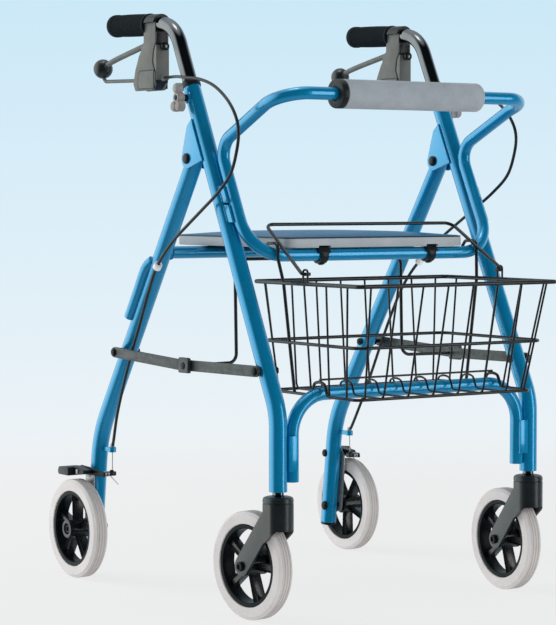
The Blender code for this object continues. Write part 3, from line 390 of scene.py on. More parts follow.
def bar(start, end, radius, edge=0.0, sides=32):
    """A round bar between two points with its end edges rounded."""
    start, end = Vector(start), Vector(end)
    piece = added(bpy.ops.mesh.primitive_cylinder_add, vertices=sides, radius=radius,
                  depth=(end - start).length, location=(start + end) / 2,
                  rotation=along(end - start))
    return bevelled(set_down(piece), edge, 2)


def brick(low, high, edge=0.0, segments=3):
    """A block between two corners with rounded edges."""
    low, high = Vector(low), Vector(high)
    piece = added(bpy.ops.mesh.primitive_cube_add, size=1, location=(low + high) / 2)
    piece.scale = [abs(v) for v in high - low]
    return bevelled(set_down(piece), edge, segments)


def extruded(outline, move, edge=0.0, segments=3):
    """A flat outline of points, extruded by a move."""
    piece = added(bpy.ops.mesh.primitive_circle_add, vertices=len(outline), radius=1,
                  fill_type="NGON")
    for vert, place in zip(piece.data.vertices, outline):
        vert.co = place
    pick_faces(piece, lambda normal: True)
    edit(piece, FACES, (bpy.ops.mesh.extrude_region_move,
                        {"TRANSFORM_OT_translate": {"value": move}}))
    return bevelled(merged(piece), edge, segments)


def slab(outline, x_a, x_b, edge=0.0, segments=3):
    """A flat outline of (y, z) points, extruded along X."""
    return extruded([(x_a, y, z) for y, z in outline], (x_b - x_a, 0, 0), edge, segments)


def turned(profile, place=ORIGIN, axis=X_AXIS, steps=64):
    """A closed profile of (radius, height) points spun round an axis."""
    piece = added(bpy.ops.mesh.primitive_circle_add, vertices=len(profile), radius=1,
                  fill_type="NOTHING")
    for vert, (r, h) in zip(piece.data.vertices, profile):
        vert.co = (r, 0, h)
    edit(piece, ALL, (bpy.ops.mesh.spin, {"steps": steps, "angle": 2 * pi, "center": (0, 0, 0),
                                          "axis": (0, 0, 1)}))
    merged(piece)
    piece.location = place
    piece.rotation_euler = along(axis)
    return set_down(piece)


def rounded_path(corners, closed=False, arc_step=FINE_ARC):
    """Points through corners, each given as (x, y, z, bend radius), with arcs at the bends."""
    points = []
    count = len(corners)
    for i, (*corner, radius) in enumerate(corners):
        corner = Vector(corner)
        if not radius or (not closed and i in (0, count - 1)):
            points.append(corner)
            continue
        before = (Vector(corners[i - 1][:3]) - corner).normalized()
        after = (Vector(corners[(i + 1) % count][:3]) - corner).normalized()
        turn = pi - before.angle(after)
        reach = radius * tan(turn / 2)
        centre = corner + (before + after).normalized() * (reach**2 + radius**2) ** 0.5
        spoke = corner + before * reach - centre
        axis = before.cross(after).normalized()
        steps = max(2, round(turn / arc_step))
        for k in range(steps + 1):
            points.append(centre + Matrix.Rotation(-turn * k / steps, 3, axis) @ spoke)
    return points


def rounded_outline(*corners):
    """A closed (y, z) outline from (y, z, corner radius) triples."""
    path = rounded_path([(0, *corner) for corner in corners], True, COARSE_ARC)
    return [(p.y, p.z) for p in path]


def smooth_path(knots, spacing):
    """Points at even steps along a Catmull-Rom curve through the knots."""
    knots = [Vector(k) for k in knots]
    dense = []
    for a, b, c, d in zip(knots[:1] + knots, knots, knots[1:], knots[2:] + knots[-1:]):
        for t in (k / CURVE_STEPS for k in range(CURVE_STEPS)):
            dense.append(0.5 * (2 * b + (c - a) * t + (2 * a - 5 * b + 4 * c - d) * t**2
                                + (3 * b - a - 3 * c + d) * t**3))
    dense.append(knots[-1])
    length = sum((q - p).length for p, q in zip(dense, dense[1:]))
    count = round(length / spacing)
    points = [dense[0]]
    walked = 0.0
    for p, q in zip(dense, dense[1:]):
        walked += (q - p).length
        if walked >= length * len(points) / count and len(points) < count:
            points.append(q)
    points.append(dense[-1])
    return points


def tube(points, radius, closed=False, sides=20, capped=True, swell=None):
    """A round tube or wire along points; swell gives the radius at each point as a share."""
    line = added(bpy.ops.curve.primitive_nurbs_path_add)
    curve = line.data
    curve.splines.clear()
    spline = curve.splines.new("POLY")
    spline.points.add(len(points) - 1)
    for i, p in enumerate(points):
        spline.points[i].co = (*p, 1.0)
        if swell:
            spline.points[i].radius = swell[i]
    spline.use_cyclic_u = closed
    curve.bevel_depth = radius
    curve.bevel_resolution = (sides - 4) // 2
    curve.use_fill_caps = capped and not closed
    only(line)
    bpy.ops.object.convert(target="MESH")
    return merged(bpy.context.object)


def pipe(points, radius, wall, sides=36):
    """An open tube with a wall."""
    return apply(tube(points, radius, False, sides, False), "SOLIDIFY", thickness=wall, offset=-1)


def turns(last, first=0):
    """Angles in steps of 15 degrees."""
    return [radians(15 * k) for k in range(first, last + 1)]


def mirrored(half):
    """Corners of one side, then those of the other side back again."""
    return half + [(-x, *rest) for x, *rest in half[::-1]]


def both_ways(half):
    """A half profile of (radius, height) points and its mirror image below."""
    return half + [(r, -h) for r, h in half[::-1]]


def arc(centre, radius, start, end, steps):
    """Points of a flat arc, angles in degrees from +Y towards +Z."""
    angles = [radians(start + (end - start) * k / steps) for k in range(steps + 1)]
    return [(centre[0] + radius * cos(a), centre[1] + radius * sin(a)) for a in angles]


def shifted(yz, direction, ahead, across=0.0):
    """A (y, z) point moved along a direction and square to it, towards the rear."""
    return (yz[0] + direction.y * ahead + direction.z * across,
            yz[1] + direction.z * ahead - direction.y * across)


def point(x, yz):
    return Vector((x, *yz))


def outwards(s, place):
    """An (outward x, y, z) place on its side."""
    return Vector((s * place[0], *place[1:]))


def cross_bar(s, x_a, x_b, yz, radius, edge=0.0, sides=32):
    """A bar across the frame between two outward x."""
    return bar(point(s * x_a, yz), point(s * x_b, yz), radius, edge, sides)


def front_leg_y(z):
    return FRONT_REF[0] - FRONT_LEAN * (FRONT_REF[1] - z)


def rear_leg_y(z):
    return REAR_REF[0] + REAR_LEAN * (REAR_REF[1] - z)


def leg_top(s):
    return point(s * LEG_X, (front_leg_y(FRONT_TOP_Z), FRONT_TOP_Z))


def loop_side_y(z):
    slope = (LOOP_SHOULDER[0] - SEAT_RAIL[0]) / (LOOP_SHOULDER[1] - SEAT_RAIL[1])
    return SEAT_RAIL[0] + slope * (z - SEAT_RAIL[1])


def grip_z(y):
    return HANDLE_BEND[1] + GRIP_SLOPE * (y - HANDLE_BEND[0])


def weld_bead(points, radius=0.0011):
    """A rippled bead of weld along points."""
    path = smooth_path(points, BEAD_STEP)
    swell = [1.0 + BEAD_RIPPLE * sin(k * 2.1) for k in range(len(path))]
    return tube(path, radius, False, 8, True, swell)


def dome_head(centre, axis, radius, height, steps=32):
    """A domed bolt or rivet head that stands on a face."""
    rise = [(radius * cos(a), height * (0.25 + 0.75 * sin(a))) for a in turns(5)]
    return turned([(0, 0), (radius, 0)] + rise + [(0, height)], centre, axis, steps)


def side_turned(s, profile, x, yz, steps=36):
    """A spun profile on an axis across the frame, from outward x outwards."""
    return turned(profile, point(s * x, yz), (s, 0, 0), steps)


def side_dome(s, x, yz, radius, height, way=1):
    """A domed head on a face at outward x, outwards, or inwards for way -1."""
    return dome_head(point(s * x, yz), (s * way, 0, 0), radius, height)


def dress(piece, name, finish_name, body, *nodes, angle=38, bend=None):
    """Name, shade and finish a piece and hand it to its body; a piece given a bend instead has its
    place put into its mesh.
    """
    piece.name = name
    piece.data.name = name
    piece.data.materials.clear()
    piece.data.materials.append(FINISHES[finish_name])
    only(piece)
    bpy.ops.object.shade_smooth_by_angle(angle=radians(angle))
    if bend:
        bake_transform(piece)
    else:
        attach(piece, body)
    if nodes:
        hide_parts(*nodes)
    return piece


# Finishes

def fed(tree, node, inputs):
    """Give a node's inputs values, colours or links."""
    for name, value in inputs.items():
        socket = node.inputs[name]
        if isinstance(value, bpy.types.NodeSocket):
            tree.links.new(value, socket)
        else:
            socket.default_value = (*value, 1) if socket.type == "RGBA" else value
    return node


def add_node(tree, kind, inputs, **settings):
    node = tree.nodes.new("ShaderNode" + kind)
    for name, value in settings.items():
        setattr(node, name, value)
    return fed(tree, node, inputs)


def object_place(tree):
    return tree.nodes.new("ShaderNodeTexCoord").outputs["Object"]


def object_noise(tree, scale, detail=3.0, stretch=(1, 1, 1)):
    """Noise on object coordinates, with its own stretch."""
    place = add_node(tree, "Mapping", {"Vector": object_place(tree), "Scale": stretch})
    return add_node(tree, "TexNoise", {"Vector": place.outputs["Vector"], "Scale": scale,
                                       "Detail": detail, "Roughness": 0.55}).outputs["Fac"]


def object_cells(tree, scale, feature="F1"):
    return add_node(tree, "TexVoronoi", {"Vector": object_place(tree), "Scale": scale},
                    feature=feature).outputs["Distance"]


def ramp(tree, source, *stops):
    """Colours along a value: stops are (position, colour or grey)."""
    node = add_node(tree, "ValToRGB", {"Fac": source})
    while len(node.color_ramp.elements) < len(stops):
        node.color_ramp.elements.new(0.5)
    for element, (position, colour) in zip(node.color_ramp.elements, stops):
        element.position = position
        tone = colour if isinstance(colour, tuple) else (colour,) * 3
        element.color = (*tone, 1)
    return node.outputs["Color"]


def blended(tree, low, high, factor):
    """Mix two colours, given as sockets or tuples."""
    return add_node(tree, "Mix", {0: factor, 6: low, 7: high}, data_type="RGBA").outputs[2]


def graded(tree, source, low, high, **settings):
    """A value's share of the way from low to high."""
    return add_node(tree, "MapRange", {"Value": source, "From Min": low, "From Max": high},
                    **settings).outputs["Result"]


def bump(tree, height, strength, distance):
    return add_node(tree, "Bump", {"Strength": strength, "Distance": distance,
                                   "Height": height}).outputs["Normal"]


def blue_enamel(tree):
    """Blue enamel: fine flake, slight orange peel and a thin clear coat."""
    flake = ramp(tree, object_noise(tree, 5200, 1), (0.38, (0.000, 0.300, 0.600)),
                 (0.66, (0.001, 0.375, 0.710)))
    drift = ramp(tree, object_noise(tree, 14), (0.3, 0.0), (0.75, 0.8))
    return {"Base Color": blended(tree, flake, (0.0, 0.335, 0.655), drift),
            "Roughness": ramp(tree, object_noise(tree, 60, 4), (0.35, 0.27), (0.8, 0.34)),
            "Metallic": 0.55, "Coat Weight": 1.0, "Coat Roughness": 0.06, "Coat IOR": 1.65,
            "Normal": bump(tree, object_noise(tree, 420, 2), 0.04, 0.0003)}


def chrome_plate(tree):
    smear = object_noise(tree, 45, 5, (1, 0.4, 0.4))
    return {"Base Color": ramp(tree, object_noise(tree, 22), (0.3, (0.19, 0.20, 0.215)),
                               (0.7, (0.26, 0.27, 0.285))),
            "Roughness": ramp(tree, smear, (0.4, 0.045), (0.8, 0.13)), "Metallic": 1.0}


def zinc(tree, dark, light, roughness):
    """Plated strip steel with faint rolling lines and spotting."""
    lines = object_noise(tree, 600, 2, (1, 0.05, 0.6))
    return {"Base Color": ramp(tree, object_noise(tree, 90, 5), (0.3, dark), (0.72, light)),
            "Roughness": ramp(tree, lines, (0.3, roughness - 0.07), (0.7, roughness + 0.1)),
            "Metallic": 0.75, "Normal": bump(tree, lines, 0.1, 0.0002)}


def moulding(tree, dark, light, roughness, gloss=0.5, grain=900, depth=0.12):
    """Moulded plastic or painted casting with a fine spark-eroded grain."""
    fine = object_noise(tree, grain)
    return {"Base Color": ramp(tree, object_noise(tree, 70, 4), (0.3, dark), (0.7, light)),
            "Roughness": ramp(tree, fine, (0.3, roughness - 0.06), (0.75, roughness + 0.1)),
            "Specular IOR Level": gloss, "Normal": bump(tree, fine, depth, 0.0002)}


def dipped_wire(tree):
    """Black dip coating on wire: glossy, with slow runs."""
    runs = object_noise(tree, 130, 3, (1, 1, 0.5))
    return {"Base Color": ramp(tree, runs, (0.35, 0.008), (0.8, 0.016)),
            "Roughness": ramp(tree, runs, (0.3, 0.22), (0.8, 0.4)), "Coat Weight": 0.3,
            "Normal": bump(tree, runs, 0.15, 0.0003)}


def pad_foam(tree):
    """Closed-cell foam: dull grey with soft mottling, and open pores darkened with painted shade.
    """
    cells = object_cells(tree, 750)
    base = ramp(tree, object_noise(tree, 35, 5), (0.3, (0.275, 0.308, 0.332)),
                (0.72, (0.348, 0.380, 0.410)))
    # Open pores: darker with painted shade in the cells.
    painted_pore_shade = ramp(tree, cells, (0.05, 0.0), (0.3, 1.0))
    return {"Base Color": blended(tree, (0.145, 0.168, 0.182), base, painted_pore_shade), "Roughness": 0.9,
            "Sheen Weight": 0.25, "Normal": bump(tree, cells, 0.35, 0.0006)}


def seat_vinyl(tree):
    """Coated seat cloth with leather grain. Its slate blue top is the cloth's own dark tone lifted
    by a painted sheen of the pale blue backdrop, the light grey band round its side is a painted
    reflection of the lamps, and the grain's creases are darkened with painted shade.
    """
    # Grain cells: their dark creases are painted shade; the same cells give the grain's real bump.
    grain_and_crease_shade = ramp(tree, object_cells(tree, 620, "DISTANCE_TO_EDGE"), (0.0, 0.0), (0.22, 1.0))
    drift = object_noise(tree, 18, 4)
    # Slate blue top: the cloth's own dark tone with a painted sheen of the pale blue backdrop on
    # it.
    tone = ramp(tree, drift, (0.3, (0.028, 0.205, 0.400)), (0.7, (0.042, 0.250, 0.470)))
    top = blended(tree, (0.018, 0.125, 0.250), tone, grain_and_crease_shade)
    # Light grey side band: a painted reflection of the lamps on the cushion's side faces.
    band = ramp(tree, drift, (0.3, (0.32, 0.35, 0.37)), (0.7, (0.40, 0.43, 0.45)))
    height = add_node(tree, "SeparateXYZ", {"Vector": object_place(tree)}).outputs["Z"]
    # Height mask: painted sheen on the top, painted reflection on the side band below the edge.
    rise = graded(tree, height, SEAT_EDGE_Z - 0.0026, SEAT_EDGE_Z - 0.0014)
    return {"Base Color": blended(tree, band, top, rise), "Specular IOR Level": 0.25,
            "Roughness": ramp(tree, drift, (0.3, 0.30), (0.75, 0.42)),
            "Normal": bump(tree, grain_and_crease_shade, 0.16, 0.0003)}


def tyre_rubber(tree, dark, light):
    """Rubber with faint mould marks and floor dust."""
    cloud = object_noise(tree, 26, 5)
    specks = ramp(tree, object_noise(tree, 380, 2), (0.62, 0.0), (0.78, 0.6))
    dust = tuple(0.72 * v for v in dark)
    tone = ramp(tree, cloud, (0.3, dark), (0.7, light))
    return {"Base Color": blended(tree, tone, dust, specks),
            "Roughness": ramp(tree, cloud, (0.3, 0.58), (0.8, 0.75)),
            "Normal": bump(tree, object_noise(tree, 700, 2), 0.08, 0.0003)}


def finish(name, surface, *values):
    """A material whose shader inputs a surface function gives."""
    material = bpy.data.materials.new(name)
    material.use_nodes = True
    tree = material.node_tree
    fed(tree, tree.nodes["Principled BSDF"], surface(tree, *values))
    return material


FINISHES = {name: finish(*recipe) for name, *recipe in (
    ("blue_enamel", "blue_enamel", blue_enamel),
    ("chrome", "chrome_plate", chrome_plate),
    ("grey_steel", "strap_steel", zinc, (0.070, 0.078, 0.078), (0.115, 0.125, 0.125), 0.42),
    ("dark_steel", "dark_steel", zinc, (0.012, 0.015, 0.017), (0.030, 0.034, 0.038), 0.36),
    ("pale_steel", "pale_steel", zinc, (0.42, 0.43, 0.44), (0.58, 0.59, 0.60), 0.34),
    ("black_plastic", "black_plastic", moulding, (0.005, 0.007, 0.008), (0.011, 0.013, 0.015),
     0.34),
    ("grip_rubber", "grip_rubber", moulding, (0.006, 0.010, 0.013), (0.010, 0.016, 0.020), 0.65,
     0.12, 1500, 0.25),
    ("rim_plastic", "rim_plastic", moulding, (0.003, 0.005, 0.006), (0.008, 0.010, 0.012), 0.30,
     0.12, 400, 0.05),
    ("spoke_plastic", "spoke_plastic", moulding, (0.006, 0.008, 0.009), (0.014, 0.016, 0.018), 0.24,
     0.9, 400, 0.05),
    ("fork_plastic", "fork_plastic", moulding, (0.006, 0.010, 0.012), (0.011, 0.016, 0.018), 0.32,
     1.0),
    ("grey_plastic", "lever_grey", moulding, (0.125, 0.132, 0.122), (0.165, 0.172, 0.160), 0.45,
     0.3, 1100, 0.2),
    ("knob_metal", "knob_metal", moulding, (0.24, 0.22, 0.21), (0.34, 0.32, 0.305), 0.38, 0.5,
     500, 0.2),
    ("white_plastic", "white_plastic", moulding, (0.78, 0.79, 0.78), (0.88, 0.89, 0.88), 0.4),
    ("cable_sheath", "cable_sheath", moulding, (0.010, 0.011, 0.012), (0.022, 0.024, 0.026), 0.28),
    ("black_wire", "dipped_wire", dipped_wire),
    ("grey_foam", "pad_foam", pad_foam),
    # Seat vinyl: painted sheen on the top, painted reflection on the side band, painted shade in
    # the grain's creases.
    ("seat_vinyl", "seat_vinyl", seat_vinyl),
    ("tyre", "tyre_rubber", tyre_rubber, (0.66, 0.625, 0.610), (0.76, 0.725, 0.705)),
    # Tread: a darker copy of the tyre rubber, painted shade on the tread band.
    ("tyre_tread", "tyre_tread", tyre_rubber, (0.46, 0.432, 0.415), (0.54, 0.510, 0.490)),
)}


# Front frame

def front_leg(side, s):
    """Bent leg tube and the two webs that carry the seat-back loop, with their welds."""
    bend_z = FRONT_REF[1] - (FRONT_REF[0] - FRONT_FOOT_Y) / FRONT_LEAN
    path = [(*leg_top(s), 0), (s * LEG_X, FRONT_FOOT_Y, bend_z, FRONT_BEND_R),
            (s * LEG_X, FRONT_FOOT_Y, FRONT_FOOT_Z, 0)]
    parts = [pipe(rounded_path(path), LEG_R, LEG_WALL)]
    for low, high in WEB_Z:
        outline = [(front_leg_y(z) - WEB_GAP, z) for z in (low, high)]
        outline += [(loop_side_y(z), z) for z in (high, low)]
        bead = [(s * (WEB_X[1] + 0.0002), front_leg_y(z) - 0.0116, z)
                for z in (low + 0.001, high - 0.001)]
        parts += [slab(outline, s * WEB_X[0], s * WEB_X[1], 0.0006), weld_bead(bead, 0.0009)]
    dress(joined(*parts), "front_leg_tube_" + side, "blue_enamel", "front_frame",
          "front_leg_" + side)


def seat_back_loop():
    half = [(LOOP_X, *SEAT_RAIL, 0.055), (LOOP_X, *LOOP_SHOULDER, 0.03),
            (LOOP_X, -0.190, 0.7165, 0.05), (LOOP_X, *LOOP_TOP, 0.042)]
    loop = tube(rounded_path(mirrored(half), True), LOOP_R, True, 32)
    dress(loop, "seat_back_tube", "blue_enamel", "front_frame", "seat_back_loop")


def lower_cross_tube():
    """Arched tube between the feet, and the welded plates that hold its ends."""
    half = [(-CROSS_TUBE_X, FRONT_FOOT_Y, CROSS_FOOT_Z, 0),
            (-CROSS_TUBE_X, FRONT_FOOT_Y, CROSS_TUBE_Z, 0.055)]
    cross = tube(rounded_path(mirrored(half)), CROSS_TUBE_R, False, 32)
    parts = [bevelled(cross, 0.0015, 2, 60)]
    low, high = WELD_PLATE_Z
    for s in (-1, 1):
        parts.append(brick((s * WELD_PLATE_X[0], FRONT_FOOT_Y - 0.0118, low),
                           (s * WELD_PLATE_X[1], FRONT_FOOT_Y + 0.0065, high), 0.0006, 2))
        for x, y in ((CROSS_TUBE_X + 0.0068, 0.0066), (LEG_X - LEG_R - 0.0002, 0.0066),
                     (WELD_PLATE_X[0] + 0.0004, -0.0094), (WELD_PLATE_X[1] + 0.0006, -0.0062)):
            bead = [(s * x, FRONT_FOOT_Y + y, z) for z in (low + 0.002, high - 0.002)]
            parts.append(weld_bead(bead, 0.0008))
    dress(joined(*parts), "cross_tube", "blue_enamel", "front_frame", "lower_cross_tube")


def backrest_pad():
    """Foam sleeve, rounded at both ends, with a black band round its right end."""
    start, high = PAD_X
    low = start + PAD_BAND
    bore = LOOP_R + 0.0004
    corner = 0.0045
    profile = [(bore, low), (PAD_R - 0.0012, low), (PAD_R, low + 0.001)]
    profile += [(PAD_R, low + (high - low - corner) * k / 14) for k in range(1, 14)]
    profile += [(PAD_R - corner + corner * cos(a), high - corner + corner * sin(a))
                for a in turns(6)]
    profile += [(LOOP_R + 0.0026, high), (bore, high - 0.0025)]
    foam = turned(profile, (0, *LOOP_TOP))
    dress(foam, "backrest_foam", "grey_foam", "front_frame", "backrest_pad")
    ring = [(bore, start + 0.001), (LOOP_R + 0.0016, start), (PAD_R - 0.0022, start),
            (PAD_R - 0.0006, start + 0.0007), (PAD_R, start + 0.0024), (PAD_R, low - 0.001),
            (PAD_R - 0.0008, low), (bore, low)]
    dress(turned(ring, (0, *LOOP_TOP), X_AXIS, 56), "backrest_end_band", "black_plastic",
          "front_frame")


def pivot_gusset(side, s):
    """Channel behind the leg: two cheeks and the web that joins them."""
    upper, lower = [(front_leg_y(z), z) for z in GUSSET_Z]
    outline = [upper, shifted(upper, FRONT_DIR, -0.004, 0.0155)]
    outline += arc(PIVOT, 0.0145, 20, -110, 16) + [lower]
    parts = [slab(outline, s * x, s * (x + CHEEK_T), 0.0008) for x in CHEEK_X]
    high = shifted(upper, FRONT_DIR, -0.006, 0.0145)
    low = shifted(lower, FRONT_DIR, 0.012, 0.0145)
    web = [shifted(place, FRONT_DIR, 0, across) for place, across in
           ((high, -0.0015), (high, 0.0012), (low, 0.0012), (low, -0.0015))]
    parts.append(slab(web, s * 0.2080, s * 0.2370, 0.0006))
    for x in (0.2078, 0.2376):
        bead = [point(s * x, shifted(upper, FRONT_DIR, -0.008, 0.001)),
                point(s * x, shifted(lower, FRONT_DIR, 0.006, 0.001))]
        parts.append(weld_bead(bead, 0.001))
    dress(joined(*parts), "pivot_channel_" + side, "blue_enamel", "front_frame",
          "pivot_gusset_" + side)


def pivot_bolt(side, s):
    """Pivot bolt under black caps on both cheeks."""
    shank = cross_bar(s, 0.2045, 0.2405, PIVOT, 0.0042, 0.0005)
    caps = [side_dome(s, 0.2382, PIVOT, 0.0078, 0.0044),
            side_dome(s, 0.2070, PIVOT, 0.0078, 0.0050, -1)]
    dress(joined(shank, *caps), "pivot_bolt_caps_" + side, "black_plastic", "front_frame",
          "pivot_bolt_" + side)


def leg_top_collar(side, s):
    bore = TUBE_R + 0.0003
    profile = [(bore, 0.0003), (0.0137, 0.0003), (0.0139, 0.0012), (0.0139, 0.0075),
               (0.0130, 0.0096), (0.0122, 0.0100), (bore, 0.0100)]
    dress(turned(profile, leg_top(s), FRONT_DIR, 48), "leg_collar_" + side, "black_plastic",
          "front_frame", "leg_top_collar_" + side)


# Rear frame

def rear_leg(side, s):
    """Leg tube with its end plug and cap, the lug and the barrel that stops the cable's sheath."""
    top = point(s * LEG_X, PIVOT) + REAR_DIR * REAR_OVER_PIVOT
    bend = point(s * LEG_X, REAR_BEND)
    foot = point(s * LEG_X, REAR_FOOT)
    down = (foot - bend).normalized()
    end = foot - down * 0.004
    leg = pipe(rounded_path([(*top, 0), (*bend, REAR_BEND_R), (*end, 0)]), LEG_R, LEG_WALL)
    stop = outwards(s, CABLE_STOP)
    lug = brick(stop - Vector((0.0015, 0, 0.0035)), stop + Vector((0.0015, 0.032, 0.0035)),
                0.0005, 2)
    barrel = turned([(0.0012, -0.0035), (0.0052, -0.0035), (0.0058, -0.0028), (0.0058, 0.0038),
                     (0.0050, 0.0045), (0.0026, 0.0045), (0.0024, 0.0030), (0.0012, 0.0030)],
                    stop, Z_AXIS, 36)
    bead = weld_bead([stop + Vector((s * 0.0018, 0.0285, z)) for z in (-0.003, 0.003)], 0.0009)
    dress(joined(leg, lug, barrel, bead), "rear_leg_tube_" + side, "blue_enamel", "rear_frame",
          "rear_leg_" + side)
    inner = LEG_R - LEG_WALL
    plug = turned([(0, 0.004), (0.0121, 0.004), (0.0126, 0.0034), (0.0126, 0.0001),
                   (inner, 0.0001), (inner, -0.010), (0, -0.010)], end, down, 48)
    dress(plug, "rear_leg_plug_" + side, "black_plastic", "rear_frame")
    cap = turned([(0, -0.008), (inner, -0.008), (inner, 0), (0.0122, 0.0004), (0.0108, 0.0022),
                  (0.0060, 0.0030), (0, 0.0032)], top - REAR_DIR * 0.001, REAR_DIR, 48)
    dress(cap, "rear_leg_cap_" + side, "black_plastic", "rear_frame")


def rear_rail():
    y, z = rear_leg_y(REAR_RAIL_Z), REAR_RAIL_Z
    half = LEG_X - LEG_R * 0.6
    parts = [bar((-half, y, z), (half, y, z), REAR_RAIL_R, 0, 36)]
    for s in (-1, 1):
        ring = [(s * (LEG_X - LEG_R - 0.0004), y + 0.0098 * cos(a), z + 0.0098 * sin(a))
                for a in [2 * pi * k / 16 for k in range(17)]]
        parts.append(weld_bead(ring))
    dress(joined(*parts), "rear_cross_rail", "blue_enamel", "rear_frame", "rear_rail")


def cable_guard(side, s):
    """Half shell on the outer face of the rear leg that holds the cable, with its white clip."""
    turn = GUARD_TURN
    aside = Vector((s * cos(turn), REAR_DIR.z * sin(turn), -REAR_DIR.y * sin(turn)))
    start, end, tip = [point(s * LEG_X, (rear_leg_y(z), z)) + aside * reach
                       for z, reach in GUARD_LINE]
    path = smooth_path([start, start.lerp(end, 0.5), end, tip], CABLE_STEP)
    guard = bevelled(tube(path, GUARD_R, False, 28), 0.002, 3, 55)
    dress(guard, "cable_guard_shell_" + side, "blue_enamel", "rear_frame", "cable_guard_" + side)
    half = [(CABLE_R + 0.0001, -0.0052), (0.0052, -0.0052), (0.0062, -0.0042)]
    clip = turned(both_ways(half), outwards(s, CABLE_CLIP), (s * 0.10, -0.77, 0.63), 36)
    dress(clip, "cable_clip_" + side, "white_plastic", "rear_frame")


def axle_plate(side, s):
    """Steel plate on the rear leg with the axle bolt, its nut and the brake pivot."""
    outline = arc(REAR_AXLE, 0.0115, -175, 5, 16)
    outline += [(0.2850, 0.1640), (0.2815, 0.1700), (0.2680, 0.1700), (0.2595, 0.1600),
                (0.2595, 0.1500)]
    steel = slab(outline, s * PLATE_X[0], s * PLATE_X[1], 0.0005)
    dress(steel, "axle_plate_steel_" + side, "pale_steel", "rear_frame", "axle_plate_" + side)
    head = REAR_WHEEL_X + REAR_HUB[1] - HUB_RECESS[1] + 0.0003
    nut_x = LEG_X - LEG_R + 0.0006
    parts = [cross_bar(s, 0.2060, head + 0.001, REAR_AXLE, AXLE_R, 0.0004),
             cross_bar(s, PLATE_X[1], 0.2413, REAR_AXLE, 0.0085, 0.0004),
             cross_bar(s, 0.2080, 0.2440, BRAKE_PIVOT, BOLT_R),
             side_dome(s, nut_x, REAR_AXLE, 0.0074, 0.0052, -1),
             side_dome(s, nut_x, BRAKE_PIVOT, 0.0062, 0.0042, -1)]
    dress(joined(*parts), "axle_bolt_" + side, "dark_steel", "rear_frame")
    cap = side_turned(s, [(0, -0.001), (0.0066, -0.001), (0.0070, -0.0004), (0.0070, 0.0030),
                          (0.0060, 0.0041), (0.0036, 0.0042), (0.0032, 0.0022), (0, 0.0020)],
                      head, REAR_AXLE, 40)
    dress(cap, "rear_axle_head_" + side, "dark_steel", "rear_frame")


# Locking linkage

def strap(start, s, face):
    """Flat strap with round ends, from a leg's bolt to the joint of both straps."""
    turn = degrees(atan2(BRACE_JOINT[1] - start[1], BRACE_JOINT[0] - start[0]))
    outline = arc(BRACE_JOINT, STRAP_H / 2, turn - 90, turn + 90, 14)
    outline += arc(start, STRAP_H / 2, turn + 90, turn + 270, 14)
    return slab(outline, s * face[0], s * face[1], 0.0006)


def brace_bolts(side, s):
    """The bolts that the straps turn on, each with spacer, dark head and the nut inside the leg."""
    inner = LEG_X - LEG_R
    for which, yz, face in (("front", FRONT_BRACE, FRONT_STRAP_X[1]),
                            ("rear", REAR_BRACE, REAR_STRAP_X[1])):
        parts = [cross_bar(s, 0.2060, face + 0.002, yz, BOLT_R),
                 side_turned(s, [(0.0028, 0), (0.0062, 0), (0.0065, 0.0005), (0.0065, 0.0024),
                                 (0.0028, 0.0026)], LEG_X + LEG_R, yz, 32),
                 side_dome(s, face + 0.0002, yz, 0.0062, 0.0032),
                 cross_bar(s, inner, inner - NUT_H, yz, NUT_ACROSS / 2 * HEX_SPREAD, 0.0006, 6),
                 side_dome(s, inner - NUT_H, yz, 0.0032, 0.0018, -1)]
        dress(joined(*parts), f"{which}_brace_bolt_parts_{side}", "dark_steel", which + "_frame",
              f"{which}_brace_bolt_{side}")


def front_brace(side, s):
    dress(strap(FRONT_BRACE, s, FRONT_STRAP_X), "front_strap_" + side, "grey_steel",
          "front_braces", "front_brace_" + side)


def rear_brace(side, s):
    """Rear strap with the stop block round the joint, and the joint's rivet."""
    y, z = BRACE_JOINT
    face = REAR_STRAP_X[1] + 0.0006
    bare = strap(REAR_BRACE, s, REAR_STRAP_X)
    block = slab(rounded_outline((y - 0.013, z - 0.0105, 0.002), (y + 0.013, z - 0.0105, 0.002),
                                 (y + 0.013, z + 0.0115, 0.003), (y - 0.013, z + 0.0115, 0.003)),
                 s * REAR_STRAP_X[0], s * face, 0.0006)
    dress(joined(bare, block), "rear_strap_" + side, "grey_steel", "rear_braces",
          "rear_brace_" + side)
    rivet = side_dome(s, face, BRACE_JOINT, 0.0052, 0.0018)
    dress(rivet, "strap_rivet_" + side, "dark_steel", "rear_braces")


def fold_rod():
    half = [(FRONT_STRAP_X[1] + 0.0003, *BRACE_JOINT, 0), (ROD_X, *ROD_HEEL, 0.014),
            (ROD_X, *ROD_TOP, 0.012)]
    rod = tube(rounded_path(mirrored(half)), ROD_R, False, 16)
    dress(rod, "fold_rod_wire", "black_wire", "fold_rod", "fold_rod")


# Seat

def rectangle(x, y_a, y_b, corner):
    """A flat rectangle with round corners, from (-x, y_a) by way of (x, y_a)."""
    places = ((-x, y_a), (x, y_a), (x, y_b), (-x, y_b))
    return rounded_path([(*place, 0, corner) for place in places], True)


